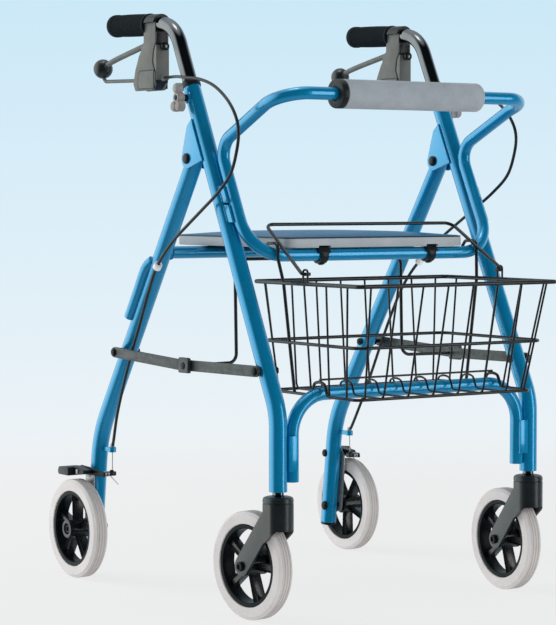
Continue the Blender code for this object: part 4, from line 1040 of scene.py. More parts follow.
def seat_ring(inset, height, crowned=False):
    """The seat's plan at an inset from its edge: round corners, and sides drawn in between them."""
    plan = rectangle(-SEAT_X, SEAT_HALF_Y, -SEAT_HALF_Y, SEAT_CORNER_R)
    ring = []
    for a, b in zip(plan, plan[1:] + plan[:1]):
        steps = max(1, round((b - a).length / SEAT_STEP))
        for p in (a.lerp(b, k / steps) for k in range(steps)):
            u, v = p.x / SEAT_X, p.y / SEAT_HALF_Y
            x = p.x * (1 - inset / SEAT_X) * (1 - SEAT_DRAWN_IN[0] * (1 - v**2))
            y = p.y * (1 - inset / SEAT_HALF_Y) * (1 - SEAT_DRAWN_IN[1] * (1 - u**2))
            crown = SEAT_CROWN * (1 - (x / SEAT_X) ** 4) * (1 - (y / SEAT_HALF_Y) ** 4)
            rise = crown * (SEAT_EDGE_Z - SEAT_BOTTOM_Z) / 2 if crowned else 0
            ring.append((x, y + sum(SEAT_Y) / 2, height + rise))
    return ring


def without_recesses(piece):
    """The piece without the room for the saddle clips in its front edge."""
    half = CLIP_HALF + 0.0003
    room = [brick((x - half, SEAT_Y[0] - 0.01, SEAT_BOTTOM_Z - 0.01),
                  (x + half, SEAT_RAIL[0] + 0.0165, CLIP_RECESS_Z)) for x in (-CLIP_X, CLIP_X)]
    return cut(piece, *room)


def seat_cushion():
    """Thin padded top with a crown, its edge turned down round the board, and its piping."""
    edge = SEAT_FOLD_R
    inset = SEAT_X - BOARD_X - 0.0003
    over_board = BOARD_TOP_Z + 0.0003
    rings = [seat_ring(inset + 0.13, over_board), seat_ring(inset, over_board),
             seat_ring(inset, SEAT_BOTTOM_Z), seat_ring(0.0010, SEAT_BOTTOM_Z),
             seat_ring(0, SEAT_BOTTOM_Z + 0.0010), seat_ring(0, SEAT_EDGE_Z - edge)]
    rings += [seat_ring(edge * (1 - cos(a)), SEAT_EDGE_Z - edge * (1 - sin(a)), True)
              for a in turns(6, 1)]
    rings += [seat_ring(edge + (SEAT_HALF_Y - edge) * k / 14, SEAT_EDGE_Z, True)
              for k in range(1, 14)]
    cushion = without_recesses(filled(loft(rings)))
    dress(cushion, "seat_top_pad", "seat_vinyl", "seat", "seat_cushion", angle=50)
    piping = tube(seat_ring(0.0008, SEAT_EDGE_Z - 0.0014), 0.0010, True, 12)
    dress(piping, "seat_piping", "black_plastic", "seat")


def seat_board():
    front, rear = BOARD_Y
    plan = [(p.x, p.y, BOARD_BOTTOM_Z) for p in rectangle(BOARD_X, front, rear, 0.010)]
    board = extruded(plan, (0, 0, BOARD_TOP_Z - BOARD_BOTTOM_Z), 0.0010, 2)
    screws = [dome_head((x, y, BOARD_BOTTOM_Z), (0, 0, -1), 0.0042, 0.0016, 20)
              for x in (-0.118, 0.118)
              for y in (front + 0.045, (front + rear) / 2, rear - 0.030)]
    dress(joined(without_recesses(board), *screws), "seat_base_board", "black_plastic", "seat",
          "seat_board")


def seat_clip(side, s):
    """Saddle clip round the front rail, open at the back, screwed up into the board."""
    rail_y, rail_z = SEAT_RAIL
    low, high = BOARD_BOTTOM_Z + 0.0003, BOARD_BOTTOM_Z + 0.0028
    tab = [(rail_y, low), (rail_y + 0.016, low), (rail_y + 0.016, high), (rail_y, high)]
    parts = []
    for half, last in ((CLIP_HALF, 168), (CLIP_STEM_HALF, 340)):
        outline = arc(SEAT_RAIL, CLIP_R, 90, last, 30)
        outline += arc(SEAT_RAIL, LOOP_R + 0.0006, last, 90, 30) + tab
        parts.append(slab(outline, s * CLIP_X - half, s * CLIP_X + half, 0.0006, 2))
    foot = (s * CLIP_X, rail_y - 0.002, rail_z - CLIP_R + 0.0006)
    parts.append(dome_head(foot, (0, -0.2, -1), 0.0050, 0.0026, 24))
    dress(joined(*parts), "seat_saddle_" + side, "black_plastic", "seat", "seat_clip_" + side)


# Basket

def wire(corners, radius=THIN_WIRE_R, sides=10, closed=False):
    return tube(rounded_path(corners, closed, COARSE_ARC), radius, closed, sides)


def ring_wire(z, radius, corner):
    """A wire round the basket at a height between rim and floor."""
    t = (RIM_RING[3] - z) / (RIM_RING[3] - FLOOR_RING[3])
    half, front, rear = [a + (b - a) * t for a, b in zip(RIM_RING[:3], FLOOR_RING[:3])]
    return wire(mirrored([(half, front, z, corner), (half, rear, z, corner)]), radius, 14, True)


def hump(x):
    """Floor wire corners over the lower cross tube."""
    return [(x, FRONT_FOOT_Y + dy, z, radius) for dy, z, radius in (
        (-0.020, FLOOR_RING[3], 0.008), (-0.0125, HUMP_SIDE_Z, 0.010), (0, HUMP_Z, 0.030),
        (0.0125, HUMP_SIDE_Z, 0.010), (0.020, FLOOR_RING[3], 0.008))]


def floor_ring():
    half, front, rear, z = FLOOR_RING
    side = [(half, rear, z, 0.012), *hump(half)[::-1], (half, front, z, 0.012)]
    return wire(mirrored(side), FLOOR_WIRE_R, 12, True)


def long_wire(x):
    """One wire down the front panel, along the floor and up the rear panel."""
    rim_z, floor_z = RIM_RING[3], FLOOR_RING[3]
    return wire([(x, RIM_RING[1], rim_z, 0), (x, FLOOR_RING[1], floor_z, 0.01), *hump(x),
                 (x, FLOOR_RING[2], floor_z, 0.01), (x, RIM_RING[2], rim_z, 0)])


def panel_wire(s, end):
    """The outermost wire of the front or rear panel, drawn in towards the floor."""
    return wire([(s * FLOOR_RING[0], RIM_RING[end], RIM_RING[3], 0),
                 (s * (FLOOR_RING[0] - 0.014), FLOOR_RING[end], FLOOR_RING[3], 0)])


def side_ends(s, y, rim_corner=0):
    """The ends at floor and rim of a side wire that meets the rim at y."""
    t = (y - RIM_RING[1]) / (RIM_RING[2] - RIM_RING[1])
    floor_y = FLOOR_RING[1] + t * (FLOOR_RING[2] - FLOOR_RING[1])
    return [(s * FLOOR_RING[0], floor_y, FLOOR_RING[3], 0),
            (s * RIM_RING[0], y, RIM_RING[3], rim_corner)]


def hook_wire(s):
    """The thick side wire that goes on up and over the seat rail."""
    y, z = SEAT_RAIL
    over = LOOP_R + MID_WIRE_R + 0.0012
    x = s * HOOK_X
    hook = [(x, y - over, z - 0.004, 0.004), (x, y - over, z + over + 0.005, 0.009),
            (x, y + 0.014, z + over + 0.004, 0.006), (x, y + 0.021, z + over - 0.004, 0)]
    return wire(side_ends(s, HOOK_Y, 0.006) + hook, MID_WIRE_R, 14)


def bail_staple(s):
    """The small bow on the rim that the basket's handle turns in."""
    x, y, z = s * RIM_RING[0], BAIL_FOOT[1], BAIL_FOOT[2] + 0.006
    return wire([(x, y - 0.0055, RIM_RING[3], 0), (x, y - 0.0055, z, 0.004),
                 (x, y + 0.0055, z, 0.004), (x, y + 0.0055, RIM_RING[3], 0)])


def basket():
    half = FLOOR_RING[0]
    wires = [ring_wire(RIM_RING[3], RIM_WIRE_R, 0.008), ring_wire(MID_RING_Z, MID_WIRE_R, 0.018),
             floor_ring(), wire([(x, FRONT_FOOT_Y, HUMP_Z, 0) for x in (-half, half)])]
    for s in (-1, 1):
        wires += [long_wire(s * x) for x in LONG_WIRES_X]
        wires += [panel_wire(s, end) for end in (1, 2)]
        wires += [wire(side_ends(s, y)[::-1]) for y in SIDE_WIRES_Y]
        wires += [hook_wire(s), bail_staple(s)]
    dress(joined(*wires), "basket_wires", "black_wire", "basket", "basket")


def basket_handle():
    x, y, z = BAIL_FOOT
    half = [(x - 0.013, y, z, 0), (x, y, z, 0.004), (*BAIL_TOP, 0.014)]
    bail = tube(rounded_path(mirrored(half)), BAIL_R, False, 16)
    dress(bail, "basket_bail", "black_wire", "basket_handle", "basket_handle")


# Handles

def handle_tube(side, s):
    path = [(*(leg_top(s) - FRONT_DIR * HANDLE_INSERT), 0),
            (s * LEG_X, *HANDLE_BEND, HANDLE_BEND_R), (s * LEG_X, *HANDLE_END, 0)]
    dress(tube(rounded_path(path), TUBE_R, False, 40), "handle_bar_" + side, "chrome",
          "handle_" + side, "handle_tube_" + side)


def handle_grip(side, s):
    """Soft grip: flange in front, fine rings along the hold, flared and domed end."""
    axis = Vector((0, 1, GRIP_SLOPE)).normalized()
    length = (GRIP_END_Y - GRIP_FRONT_Y) / axis.y
    bore = TUBE_R + 0.0002
    hold = 0.0052
    pitch = (length - hold - GRIP_TAIL) / GRIP_RINGS
    profile = [(bore, 0), (0.0160, 0), (0.0168, 0.0008), (0.0168, 0.0040), (0.0162, hold)]
    for k in range(GRIP_RINGS):
        belly = GRIP_BELLY * sin(pi * k / GRIP_RINGS)
        profile += [(r + belly, hold + pitch * k + pitch * share) for r, share in GRIP_RING]
    profile += [(0.0164, length - 0.0165), (0.0170, length - 0.0150), (0.0170, length - 0.0070)]
    profile += [(0.0072 + 0.0098 * cos(a), length - 0.0070 + 0.0070 * sin(a)) for a in turns(5, 1)]
    profile += [(0.0072, length), (0, length), (0, length - 0.004), (bore, length - 0.004)]
    grip = turned(profile, (s * LEG_X, GRIP_FRONT_Y, grip_z(GRIP_FRONT_Y)), axis, 56)
    dress(grip, "grip_" + side, "grip_rubber", "handle_" + side, "handle_grip_" + side)


CORE_OUTLINE = rounded_outline(
    (0.0775, 0.829, 0.002), (0.1045, 0.829, 0.002), (0.1080, 0.812, 0.004), (0.1205, 0.784, 0.01),
    (0.1335, 0.754, 0.003), (0.1300, 0.746, 0.003), (0.0925, 0.745, 0.003), (0.0770, 0.757, 0.003))
CHEEK_OUTLINE = rounded_outline(
    (0.0775, 0.8445, 0.002), (0.1105, 0.8445, 0.003), (0.1125, 0.8120, 0.006),
    (0.1255, 0.7970, 0.006), (0.1365, 0.7760, 0.010), (0.1425, 0.7555, 0.004),
    (0.1365, 0.7450, 0.003), (0.0865, 0.7450, 0.003), (0.0790, 0.7560, 0.002),
    (0.0790, 0.7695, 0.002), (0.0825, 0.7755, 0.003), (0.0870, 0.7870, 0.005),
    (0.0848, 0.8030, 0.005), (0.0775, 0.8155, 0.002))
FRONT_OUTLINE = rounded_outline(
    (0.0755, 0.8110, 0.0008), (0.0785, 0.8110, 0.0008), (0.0828, 0.8022, 0.003),
    (0.0851, 0.7872, 0.004), (0.0808, 0.7765, 0.003), (0.0775, 0.7712, 0.001),
    (0.0775, 0.7600, 0.0008), (0.0755, 0.7600, 0.0008))
PANEL_OUTLINE = rounded_outline((0.0822, 0.7480, 0.002), (0.1255, 0.7480, 0.004),
                                (0.1255, 0.7735, 0.008), (0.0822, 0.7735, 0.0015))
GROOVE_OUTLINE = rounded_outline((0.0812, 0.7468, 0.002), (0.1290, 0.7468, 0.005),
                                 (0.1290, 0.7751, 0.0095), (0.0812, 0.7751, 0.0015))


def brake_housing(side, s):
    """Clamp over the bar, dark core, grey casing, front piece with a gap, and cable adjusters."""
    centre = s * LEG_X
    half = CASING_HALF
    body = "handle_" + side
    core = slab(CORE_OUTLINE, centre - half + 0.0015, centre + half - 0.0015, 0.0008)
    dress(core, "brake_core_" + side, "black_plastic", body, "brake_housing_" + side)
    plates = [slab(FRONT_OUTLINE, centre - half + 0.0006, centre + half - 0.0006, 0.0006)]
    grooves = []
    for sign in (-1, 1):
        cheek, panel, groove = [
            slab(outline, centre + sign * (half - depth), centre + sign * (half + stand), edge)
            for outline, depth, stand, edge in (
                (CHEEK_OUTLINE, 0.0042, 0, 0.0010), (PANEL_OUTLINE, 0.001, 0.0009, 0.0006),
                (GROOVE_OUTLINE, 0.001, 0.00025, 0.0001))]
        plates += [cheek, panel]
        grooves.append(groove)
    dress(joined(*plates), "brake_casing_" + side, "grey_plastic", body)
    dress(joined(*grooves), "brake_panel_gap_" + side, "black_plastic", body)
    low, high = [Vector((centre, y, grip_z(y))) for y in CLAMP_Y]
    span = (high - low).length
    bore = TUBE_R + 0.0002
    ring = turned([(bore, 0), (0.0148, 0), (0.0156, 0.0010), (0.0156, span - 0.001),
                   (0.0148, span), (bore, span)], low, (high - low).normalized(), 48)
    for sign in (-1, 1):
        cut(ring, brick((centre + sign * (half - 0.0002), 0.06, 0.80),
                        (centre + sign * 0.03, 0.13, 0.8442)))
    dress(ring, "clamp_band_" + side, "black_plastic", body)
    adjuster = turned([(0.0018, 0.0112), (0.0046, 0.0112), (0.0062, 0.0100), (0.0062, 0.0052),
                       (0.0050, 0.0046), (0.0050, 0), (0.0018, 0)],
                      (centre, 0.0768, ADJUSTER_Z), AHEAD, 32)
    screw = dome_head((centre, 0.0665, ADJUSTER_Z), AHEAD, 0.0028, 0.0012)
    dress(adjuster, "adjuster_" + side, "black_plastic", body)
    dress(screw, "adjuster_screw_" + side, "pale_steel", body)
    ferrule = turned([(0.0020, 0), (0.0042, 0), (0.0042, 0.0030), (0.0034, 0.0034),
                      (0.0034, 0.0068), (0.0020, 0.0072)],
                     (centre, 0.0765, CABLE_ROUTE[0][2]), AHEAD, 28)
    dress(ferrule, "cable_ferrule_" + side, "pale_steel", body)


def brake_lever(side, s):
    """Loop lever: flat core in the housing, two rods and the ball they meet in."""
    centre = s * LEG_X
    y, z = LEVER_PIVOT
    ball_y, ball_z = LEVER_BALL
    core = slab(rounded_outline((y - 0.012, z - 0.009, 0.003), (y + 0.016, z - 0.0125, 0.003),
                                (y + 0.021, z - 0.002, 0.004), (y + 0.0175, z + 0.046, 0.006),
                                (y + 0.0095, z + 0.0525, 0.003), (y - 0.002, z + 0.046, 0.003),
                                (y - 0.013, z + 0.007, 0.005)),
                centre - 0.0055, centre + 0.0055, 0.0012)
    upper = smooth_path([(centre, y + 0.009, z + 0.0478), (centre, y + 0.030, z + 0.0441),
                         (centre, ball_y - 0.030, 0.7935), (centre, ball_y - 0.004, 0.7845)], 0.006)
    lower = rounded_path([(centre, y + 0.009, 0.7608, 0), (centre, ball_y - 0.004, 0.7640, 0.010),
                          (centre, ball_y, ball_z - 0.004, 0)])
    rods = joined(core, tube(upper, LEVER_ROD_R[0]), tube(lower, LEVER_ROD_R[1], sides=18))
    dress(rods, "lever_rods_" + side, "grey_plastic", "brake_lever_" + side, "brake_lever_" + side)
    ball = added(bpy.ops.mesh.primitive_uv_sphere_add, segments=40, ring_count=24, radius=BALL_R,
                 location=(centre, *LEVER_BALL))
    collar = turned([(0, 0), (0.0056, 0), (0.0052, 0.0035), (0, 0.0040)],
                    (centre, ball_y - 0.0122, ball_z + 0.0030), (0, -1, 0.25), 24)
    dress(joined(set_down(ball), collar), "lever_ball_" + side, "fork_plastic",
          "brake_lever_" + side)


def clamp_knob(side, s):
    """Three-lobed knob on its bolt, with the nut that is welded to the leg."""
    y, z = front_leg_y(KNOB_Z), KNOB_Z
    body = "clamp_knob_" + side
    edge = KNOB_LOBE_R
    lobe = [(0, 0.002), (edge - 0.0012, 0.002), (edge, 0.0032), (edge, 0.0095),
            (edge - 0.0014, 0.0121), (edge - 0.0034, 0.0130), (0, 0.0130)]
    lobes = [side_turned(s, lobe, KNOB_X, (y + dy, z + dz)) for dy, dz in KNOB_LOBES]
    hub = side_turned(s, [(0, 0), (0.0078, 0), (0.0085, 0.0010), (0.0083, 0.0095),
                          (0.0070, 0.0110), (0, 0.0110)], KNOB_X, (y, z))
    dress(joined(hub, *lobes), "clamp_knob_lobes_" + side, "knob_metal", body, body)
    bolt = cross_bar(s, LEG_X + TUBE_R + 0.0006, KNOB_X + 0.002, (y, z), BOLT_R, 0, 24)
    head = side_dome(s, KNOB_X + 0.0106, (y, z), 0.0040, 0.0014)
    washer = cross_bar(s, LEG_X + LEG_R + 0.0006, KNOB_X - 0.0002, (y, z), 0.0052, 0.0004)
    dress(joined(bolt, head, washer), "knob_bolt_" + side, "dark_steel", body)
    nut = side_turned(s, [(0.0056, 0), (0.0088, 0), (0.0080, 0.0020), (0.0066, 0.0030),
                          (0.0056, 0.0030)], LEG_X + LEG_R - 0.0009, (y, z))
    dress(nut, "knob_nut_" + side, "blue_enamel", "front_frame")


# Brakes

def brake_arm(side, s):
    """Arm on the axle plate: cable block in front, shoe over the tyre behind, spring below."""
    body = "brake_arm_" + side
    arm = slab(rounded_outline((0.2215, 0.1595, 0.0015), (0.2225, 0.1665, 0.0015),
                               (0.2700, 0.1705, 0.02), (0.2960, 0.1715, 0.002),
                               (0.2960, 0.1605, 0.002), (0.2700, 0.1585, 0.02)),
               s * ARM_X[0], s * ARM_X[1], 0.0006)
    ledge = brick((s * 0.2200, 0.2235, 0.1606), (s * 0.2392, 0.2300, 0.1662), 0.0006, 2)
    dress(joined(arm, ledge), "brake_arm_plate_" + side, "dark_steel", body, "brake_arm_" + side)
    block = brick((s * 0.2195, 0.2215, 0.1605), (s * 0.2300, 0.2320, 0.1670), 0.0012)
    clamp = bar((s * 0.2248, 0.2268, 0.1668), (s * 0.2248, 0.2268, 0.1692), 0.0030, 0.0004, 6)
    dress(joined(block, clamp), "cable_block_" + side, "black_plastic", body)
    shoe = slab(rounded_outline((0.2860, 0.1570, 0.002), (0.3175, 0.1570, 0.002),
                                (0.3196, 0.1625, 0.003), (0.3165, 0.1690, 0.003),
                                (0.2860, 0.1710, 0.004)), s * 0.2400, s * 0.2690, 0.0012)
    nose = slab(rounded_outline((0.2880, 0.1572, 0.002), (0.2880, 0.1708, 0.002),
                                (0.2570, 0.1672, 0.002), (0.2570, 0.1612, 0.002)),
                s * 0.2418, s * 0.2580, 0.0008)
    dress(joined(shoe, nose), "brake_shoe_" + side, "black_plastic", body)
    sleeves = [side_turned(s, [(0.0020, 0), (0.0038, 0), (0.0042, 0.0005), (0.0042, 0.0030),
                               (0.0038, 0.0035), (0.0020, 0.0035)], x, CABLE_EYE, 28)
               for x in (0.2302, 0.2348)]
    dress(joined(*sleeves), "cable_sleeves_" + side, "pale_steel", body)
    leg = bar((s * 0.2285, 0.2259, 0.1610), (s * 0.2285, 0.2012, 0.1500), 0.0006, 0, 12)
    dress(leg, "return_spring_leg_" + side, "pale_steel", body)
    rivet = side_dome(s, 0.2579, BRAKE_PIVOT, 0.0040, 0.0018)
    dress(rivet, "brake_pivot_head_" + side, "pale_steel", body)


def brake_cable(side, s):
    """Sheathed cable in two stretches and the inner wire below its stop."""
    route = smooth_path([outwards(s, place) for place in CABLE_ROUTE], CABLE_STEP)
    middle = route.index(min(route, key=lambda p: p.y))
    upper, lower = route[:middle + 1], route[middle:]
    settled = next(p for p in upper if p.y < CABLE_SETTLED_Y)
    for name, path, body, *bend in (
            ("cable_upper_", upper, "handle_" + side, "front_frame", upper[0], settled),
            ("cable_lower_", lower, "front_frame", "rear_frame", lower[4],
             outwards(s, CABLE_CLIP))):
        dress(tube(path, CABLE_R, sides=14), name + side, "cable_sheath", body,
              "brake_cable_" + side, angle=50, bend=bend)
    stop = outwards(s, CABLE_STOP)
    barrel = turned([(0.0008, 0), (0.0030, 0), (0.0034, 0.0006), (0.0034, 0.0052),
                     (0.0024, 0.0068), (0.0008, 0.0070)], stop + Z_AXIS * 0.0030, Z_AXIS, 28)
    dress(barrel, "barrel_adjuster_" + side, "pale_steel", "rear_frame")
    high, low = stop + Z_AXIS * 0.004, outwards(s, INNER_WIRE_END)
    path = [high.lerp(low, k / INNER_WIRE_STEPS) for k in range(INNER_WIRE_STEPS + 1)]
    inner = tube(path, INNER_WIRE_R, sides=12)
    dress(inner, "inner_wire_" + side, "pale_steel", "rear_frame", angle=50,
          bend=("brake_arm_" + side, stop - Z_AXIS * 0.006, low))


# Casters and wheels

def axle_turn(axis):
    """The turn about Z that brings +X to an axle direction."""
    return Matrix.Rotation(atan2(axis[1], axis[0]), 4, "Z")


def moved(piece, matrix):
    """The piece with a place and turn put into its mesh."""
    piece.matrix_world = matrix
    return set_down(piece)


def tyre(which, side, place, axis):
    """Flat-sided tyre and its tread band with lengthwise grooves."""
    name = f"{which}_tyre_{side}"
    body = f"{which}_wheel_{side}"
    w = TYRE_W / 2
    edge = WHEEL_R - TYRE_EDGE
    low = w - TYRE_EDGE
    half = [(TYRE_BORE_R, w - 0.0006), (TYRE_BORE_R + 0.0008, w), (edge - 0.0006, w),
            (edge + 0.0002, w - 0.0005), (WHEEL_R - 0.0005, low + 0.0007),
            (WHEEL_R - 0.0005, low + 0.0001), (WHEEL_R - 0.0014, low)]
    dress(turned(both_ways(half), place, axis, ROUND_STEPS), name + "_ring", "tyre", body, name,
          angle=TYRE_CREASE)
    ribs = [(WHEEL_R - 0.0016, low + 0.0003), (WHEEL_R - 0.0004, low + 0.0003),
            (WHEEL_R, low - 0.0005), (WHEEL_R, 0.0057), (WHEEL_R - 0.0009, 0.0052),
            (WHEEL_R - 0.0009, 0.0040), (WHEEL_R, 0.0035), (WHEEL_R, 0.0011),
            (WHEEL_R - 0.0009, 0.0006)]
    # The tread's darker finish is painted shade.
    dress(turned(both_ways(ribs), place, axis, ROUND_STEPS), name + "_tread", "tyre_tread", body,
          angle=TYRE_CREASE)


def spoke(turn):
    """One channel-shaped spoke that widens outwards, its turn in degrees from +Y towards +Z."""
    low, high = SPOKE_HALF
    outer = (RIM_R + RIM_BORE_R) / 2
    arm = slab([(SPOKE_FOOT_R, -low), (outer, -high), (outer, high), (SPOKE_FOOT_R, low)],
               -SPOKE_W / 2, SPOKE_W / 2)
    pick_faces(arm, lambda normal: abs(normal.x) > 0.9)
    edit(arm, FACES, (bpy.ops.mesh.inset, {"thickness": 0.0013, "depth": -0.0050,
                                           "use_individual": True}))
    bevelled(arm, 0.00035, 2, 30)
    arm.rotation_euler.x = radians(turn)
    return set_down(arm)


def rim(which, side, place, axis, low, high):
    """Outer ring, spokes and a hub with a rounded rim round its bore at both ends."""
    w = RIM_W / 2
    lip = [(RIM_R, w - 0.0006), (RIM_R - 0.0008, w), (RIM_BORE_R + 0.0012, w),
           (RIM_BORE_R + 0.0002, w - 0.0010), (RIM_BORE_R, w - 0.0022)]
    ring = turned(both_ways(lip), steps=ROUND_STEPS)
    recess, depth = HUB_RECESS
    hub = turned([(HUB_BORE_R, low + depth), (recess, low + depth), (recess, low + 0.0006),
                  (recess + 0.0008, low), (HUB_R - 0.0012, low), (HUB_R, low + 0.0012),
                  (HUB_R, high - 0.0012), (HUB_R - 0.0012, high), (recess + 0.0008, high),
                  (recess, high - 0.0006), (recess, high - depth), (HUB_BORE_R, high - depth)])
    first = SPOKE_TURN[f"{which}_{side}"]
    cast = joined(hub, *[spoke(first + 360 / SPOKES * k) for k in range(SPOKES)])
    name = f"{which}_rim_cast_{side}"
    for piece, piece_name, look, nodes in (
            (ring, name, "rim_plastic", [f"{which}_rim_{side}"]),
            (cast, name + "_spokes", "spoke_plastic", [])):
        moved(piece, Matrix.Translation(place) @ axle_turn(axis))
        dress(piece, piece_name, look, f"{which}_wheel_{side}", *nodes, angle=35)


def caster_fork(side, stem):
    """Round crown with a rolled top lip and flattened sides that run down into slanted arms."""
    axle = (CASTER_TRAIL, WHEEL_R)
    outline = [(-0.006, 0.128), (-0.006, 0.150), (0.0065, 0.1614)]
    outline += arc(axle, FORK_BOSS_R, 39, -141, 20) + [FORK_SIDE]
    arms = slab(outline, -FORK_HALF, FORK_HALF, 0.0010)
    low = FORK_SIDE[1] + 0.0005
    lip, top = FORK_LIP_Z, FORK_TOP_Z
    crown = turned([(0, low), (FORK_R, low), (FORK_R, lip - 0.0006),
                    (FORK_R - 0.0011, lip - 0.0002), (FORK_R - 0.0011, lip + 0.0006),
                    (FORK_R, lip + 0.0012), (FORK_R, top - 0.0042),
                    (FORK_R - 0.0012, top - 0.0014), (FORK_R - 0.0042, top - 0.0001),
                    (0.0120, top), (0, top)], ORIGIN, Z_AXIS, 72)
    flats = [brick((sign * FORK_HALF, -0.03, 0.1), (sign * (FORK_HALF + 0.02), 0.03, lip - 0.0004))
             for sign in (-1, 1)]
    front = slab([(-0.05, FORK_SLOT_Z), (-0.0146, FORK_SLOT_Z), FORK_SIDE, (FORK_SIDE[0], 0.05),
                  (-0.05, 0.05)], -0.03, 0.03)
    cut(crown, front, *flats)
    wheel_gap = bar((-FORK_SLOT, *axle), (FORK_SLOT, *axle), WHEEL_R + TYRE_GAP, 0, 96)
    slot = brick((-FORK_SLOT, -0.05, 0), (FORK_SLOT, 0.12, FORK_SLOT_Z))
    fork = cut(merged(combined(arms, crown)), wheel_gap, slot)
    dress(moved(fork, stem), "fork_" + side, "fork_plastic", "caster_" + side,
          "caster_fork_" + side)
    pin = bar((0, 0, top - 0.002), (0, 0, STEM_TOP_Z), STEM_R, 0.0008)
    collar = turned([(0.0058, 0), (0.0094, 0), (0.0094, 0.0012), (0.0080, 0.0026),
                     (0.0080, 0.0060), (0.0058, 0.0060)], (0, 0, top - 0.0002), Z_AXIS, 40)
    dress(moved(joined(pin, collar), stem), "caster_stem_" + side, "chrome", "caster_" + side)


def front_axle(side, place, axis):
    bolt = bar((-FORK_HALF - 0.002, 0, 0), (FORK_HALF + 0.002, 0, 0), AXLE_R)
    heads = [turned([(0, 0), (0.0064, 0), (0.0068, 0.0006), (0.0067, 0.0030), (0.0056, 0.0041),
                     (0.0036, 0.0042), (0.0032, 0.0022), (0, 0.0020)],
                    (sign * (FORK_HALF + 0.0002), 0, 0), (sign, 0, 0), 36) for sign in (-1, 1)]
    axle = moved(joined(bolt, *heads), Matrix.Translation(place) @ axle_turn(axis))
    dress(axle, "axle_bolt_front_" + side, "dark_steel", "caster_" + side, "front_axle_" + side)


def caster(side, s):
    yaw = CASTER_YAW[side]
    stem = Matrix.Translation((s * LEG_X, FRONT_FOOT_Y, 0)) @ Matrix.Rotation(yaw, 4, "Z")
    place = stem @ Vector((0, CASTER_TRAIL, WHEEL_R))
    axis = Vector((cos(yaw), sin(yaw), 0))
    caster_fork(side, stem)
    front_axle(side, place, axis)
    tyre("front", side, place, axis)
    rim("front", side, place, axis, -FRONT_HUB, FRONT_HUB)


def rear_wheel(side, s):
    place = point(s * REAR_WHEEL_X, REAR_AXLE)
    tyre("rear", side, place, X_AXIS)
    rim("rear", side, place, X_AXIS, *sorted((-s * REAR_HUB[0], s * REAR_HUB[1])))


# Studio

def hung(name, data, place, ahead):
    """A camera or lamp at a place that looks ahead."""
    thing = bpy.data.objects.new(name, data)
    bpy.context.scene.collection.objects.link(thing)
    thing.location = place
    thing.rotation_euler = ahead.to_track_quat("-Z", "Y").to_euler()
    return thing


def camera():
    data = bpy.data.cameras.new("studio_camera")
    data.lens = CAMERA_LENS
    data.sensor_width = 36
    data.clip_end = 200
    ahead = Vector((cos(CAMERA_TURN) * cos(CAMERA_DIP), sin(CAMERA_TURN) * cos(CAMERA_DIP),
                    -sin(CAMERA_DIP)))
    bpy.context.scene.camera = hung("studio_camera", data, CAMERA_PLACE, ahead)
    bpy.context.scene.view_settings.view_transform = "Standard"


def sky():
    """Pale blue backdrop for the camera, even fill light, and for gloss a room dark in front."""
    world = bpy.data.worlds.new("studio_sky")
    bpy.context.scene.world = world
    world.use_nodes = True
    tree = world.node_tree
    way = tree.nodes.new("ShaderNodeTexCoord").outputs["Generated"]
    height = add_node(tree, "SeparateXYZ", {"Vector": way}).outputs["Z"]
    backdrop = ramp(tree, graded(tree, height, BACKDROP_LOW, BACKDROP_HIGH), *BACKDROP_TONES)
    gloss = BEHIND_TONE
    for tone, direction, start, full in GLOSS:
        dot = add_node(tree, "VectorMath", {0: way, 1: Vector(direction).normalized()},
                       operation="DOT_PRODUCT").outputs["Value"]
        share = graded(tree, dot, start, full, interpolation_type="SMOOTHSTEP")
        gloss = blended(tree, gloss, tone, share)
    ray = tree.nodes.new("ShaderNodeLightPath").outputs
    seen = blended(tree, FILL_TONE, gloss, ray["Is Glossy Ray"])
    seen = blended(tree, seen, backdrop, ray["Is Camera Ray"])
    fed(tree, tree.nodes["Background"], {"Color": seen})


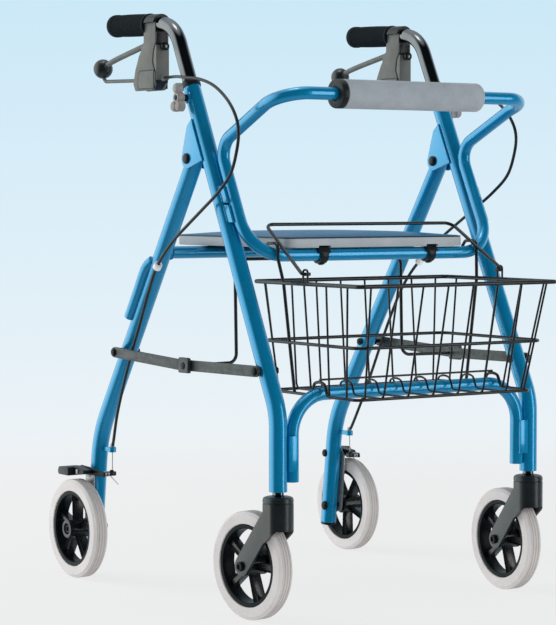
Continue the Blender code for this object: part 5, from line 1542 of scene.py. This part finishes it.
def pale_floor(tree):
    """Faintly mottled floor."""
    return {"Base Color": ramp(tree, object_noise(tree, 0.6, 2), (0.3, 0.84), (0.7, 0.87)),
            "Roughness": 0.9}


def floor():
    """Pale floor round the object that fades out into the backdrop."""
    ground = added(bpy.ops.mesh.primitive_circle_add, vertices=128, radius=FLOOR_RADIUS,
                   fill_type="NGON", location=(0, 0, -0.0002))
    ground.name = "studio_floor"
    material = finish("studio_floor", pale_floor)
    tree = material.node_tree
    reach = add_node(tree, "VectorMath", {0: object_place(tree)}, operation="LENGTH")
    share = graded(tree, reach.outputs["Value"], FLOOR_SOLID, FLOOR_RADIUS,
                   interpolation_type="SMOOTHSTEP")
    glow = add_node(tree, "Emission", {"Color": FLOOR_TONE})
    clear = tree.nodes.new("ShaderNodeBsdfTransparent")
    lit = add_node(tree, "MixShader", {0: FLOOR_GLOW, 2: glow.outputs["Emission"],
                                       1: tree.nodes["Principled BSDF"].outputs["BSDF"]})
    mix = add_node(tree, "MixShader", {0: share, 1: lit.outputs["Shader"],
                                       2: clear.outputs["BSDF"]})
    fed(tree, tree.nodes["Material Output"], {"Surface": mix.outputs["Shader"]})
    ground.data.materials.append(material)
    ground.visible_glossy = False


def softbox(name, place, size, power, mirrored_in_gloss=False):
    """An area light on the object's middle; gloss shows the room's glow instead unless told."""
    data = bpy.data.lights.new(name, "AREA")
    data.shape = "RECTANGLE"
    data.size, data.size_y = size
    data.energy = power
    hung(name, data, place, LIT_MIDDLE - Vector(place)).visible_glossy = mirrored_in_gloss


camera()
sky()
floor()
for lamp in SOFTBOXES:
    softbox(*lamp)
for side_name, way_out in SIDES.items():
    for build in (brake_cable, front_leg, pivot_gusset, pivot_bolt, leg_top_collar, rear_leg,
                  cable_guard, axle_plate, brace_bolts, front_brace, rear_brace, seat_clip,
                  handle_tube, handle_grip, brake_housing, brake_lever, clamp_knob, brake_arm,
                  caster, rear_wheel):
        build(side_name, way_out)
for build in (seat_back_loop, lower_cross_tube, backrest_pad, rear_rail, fold_rod, seat_cushion,
              seat_board, basket, basket_handle):
    build()
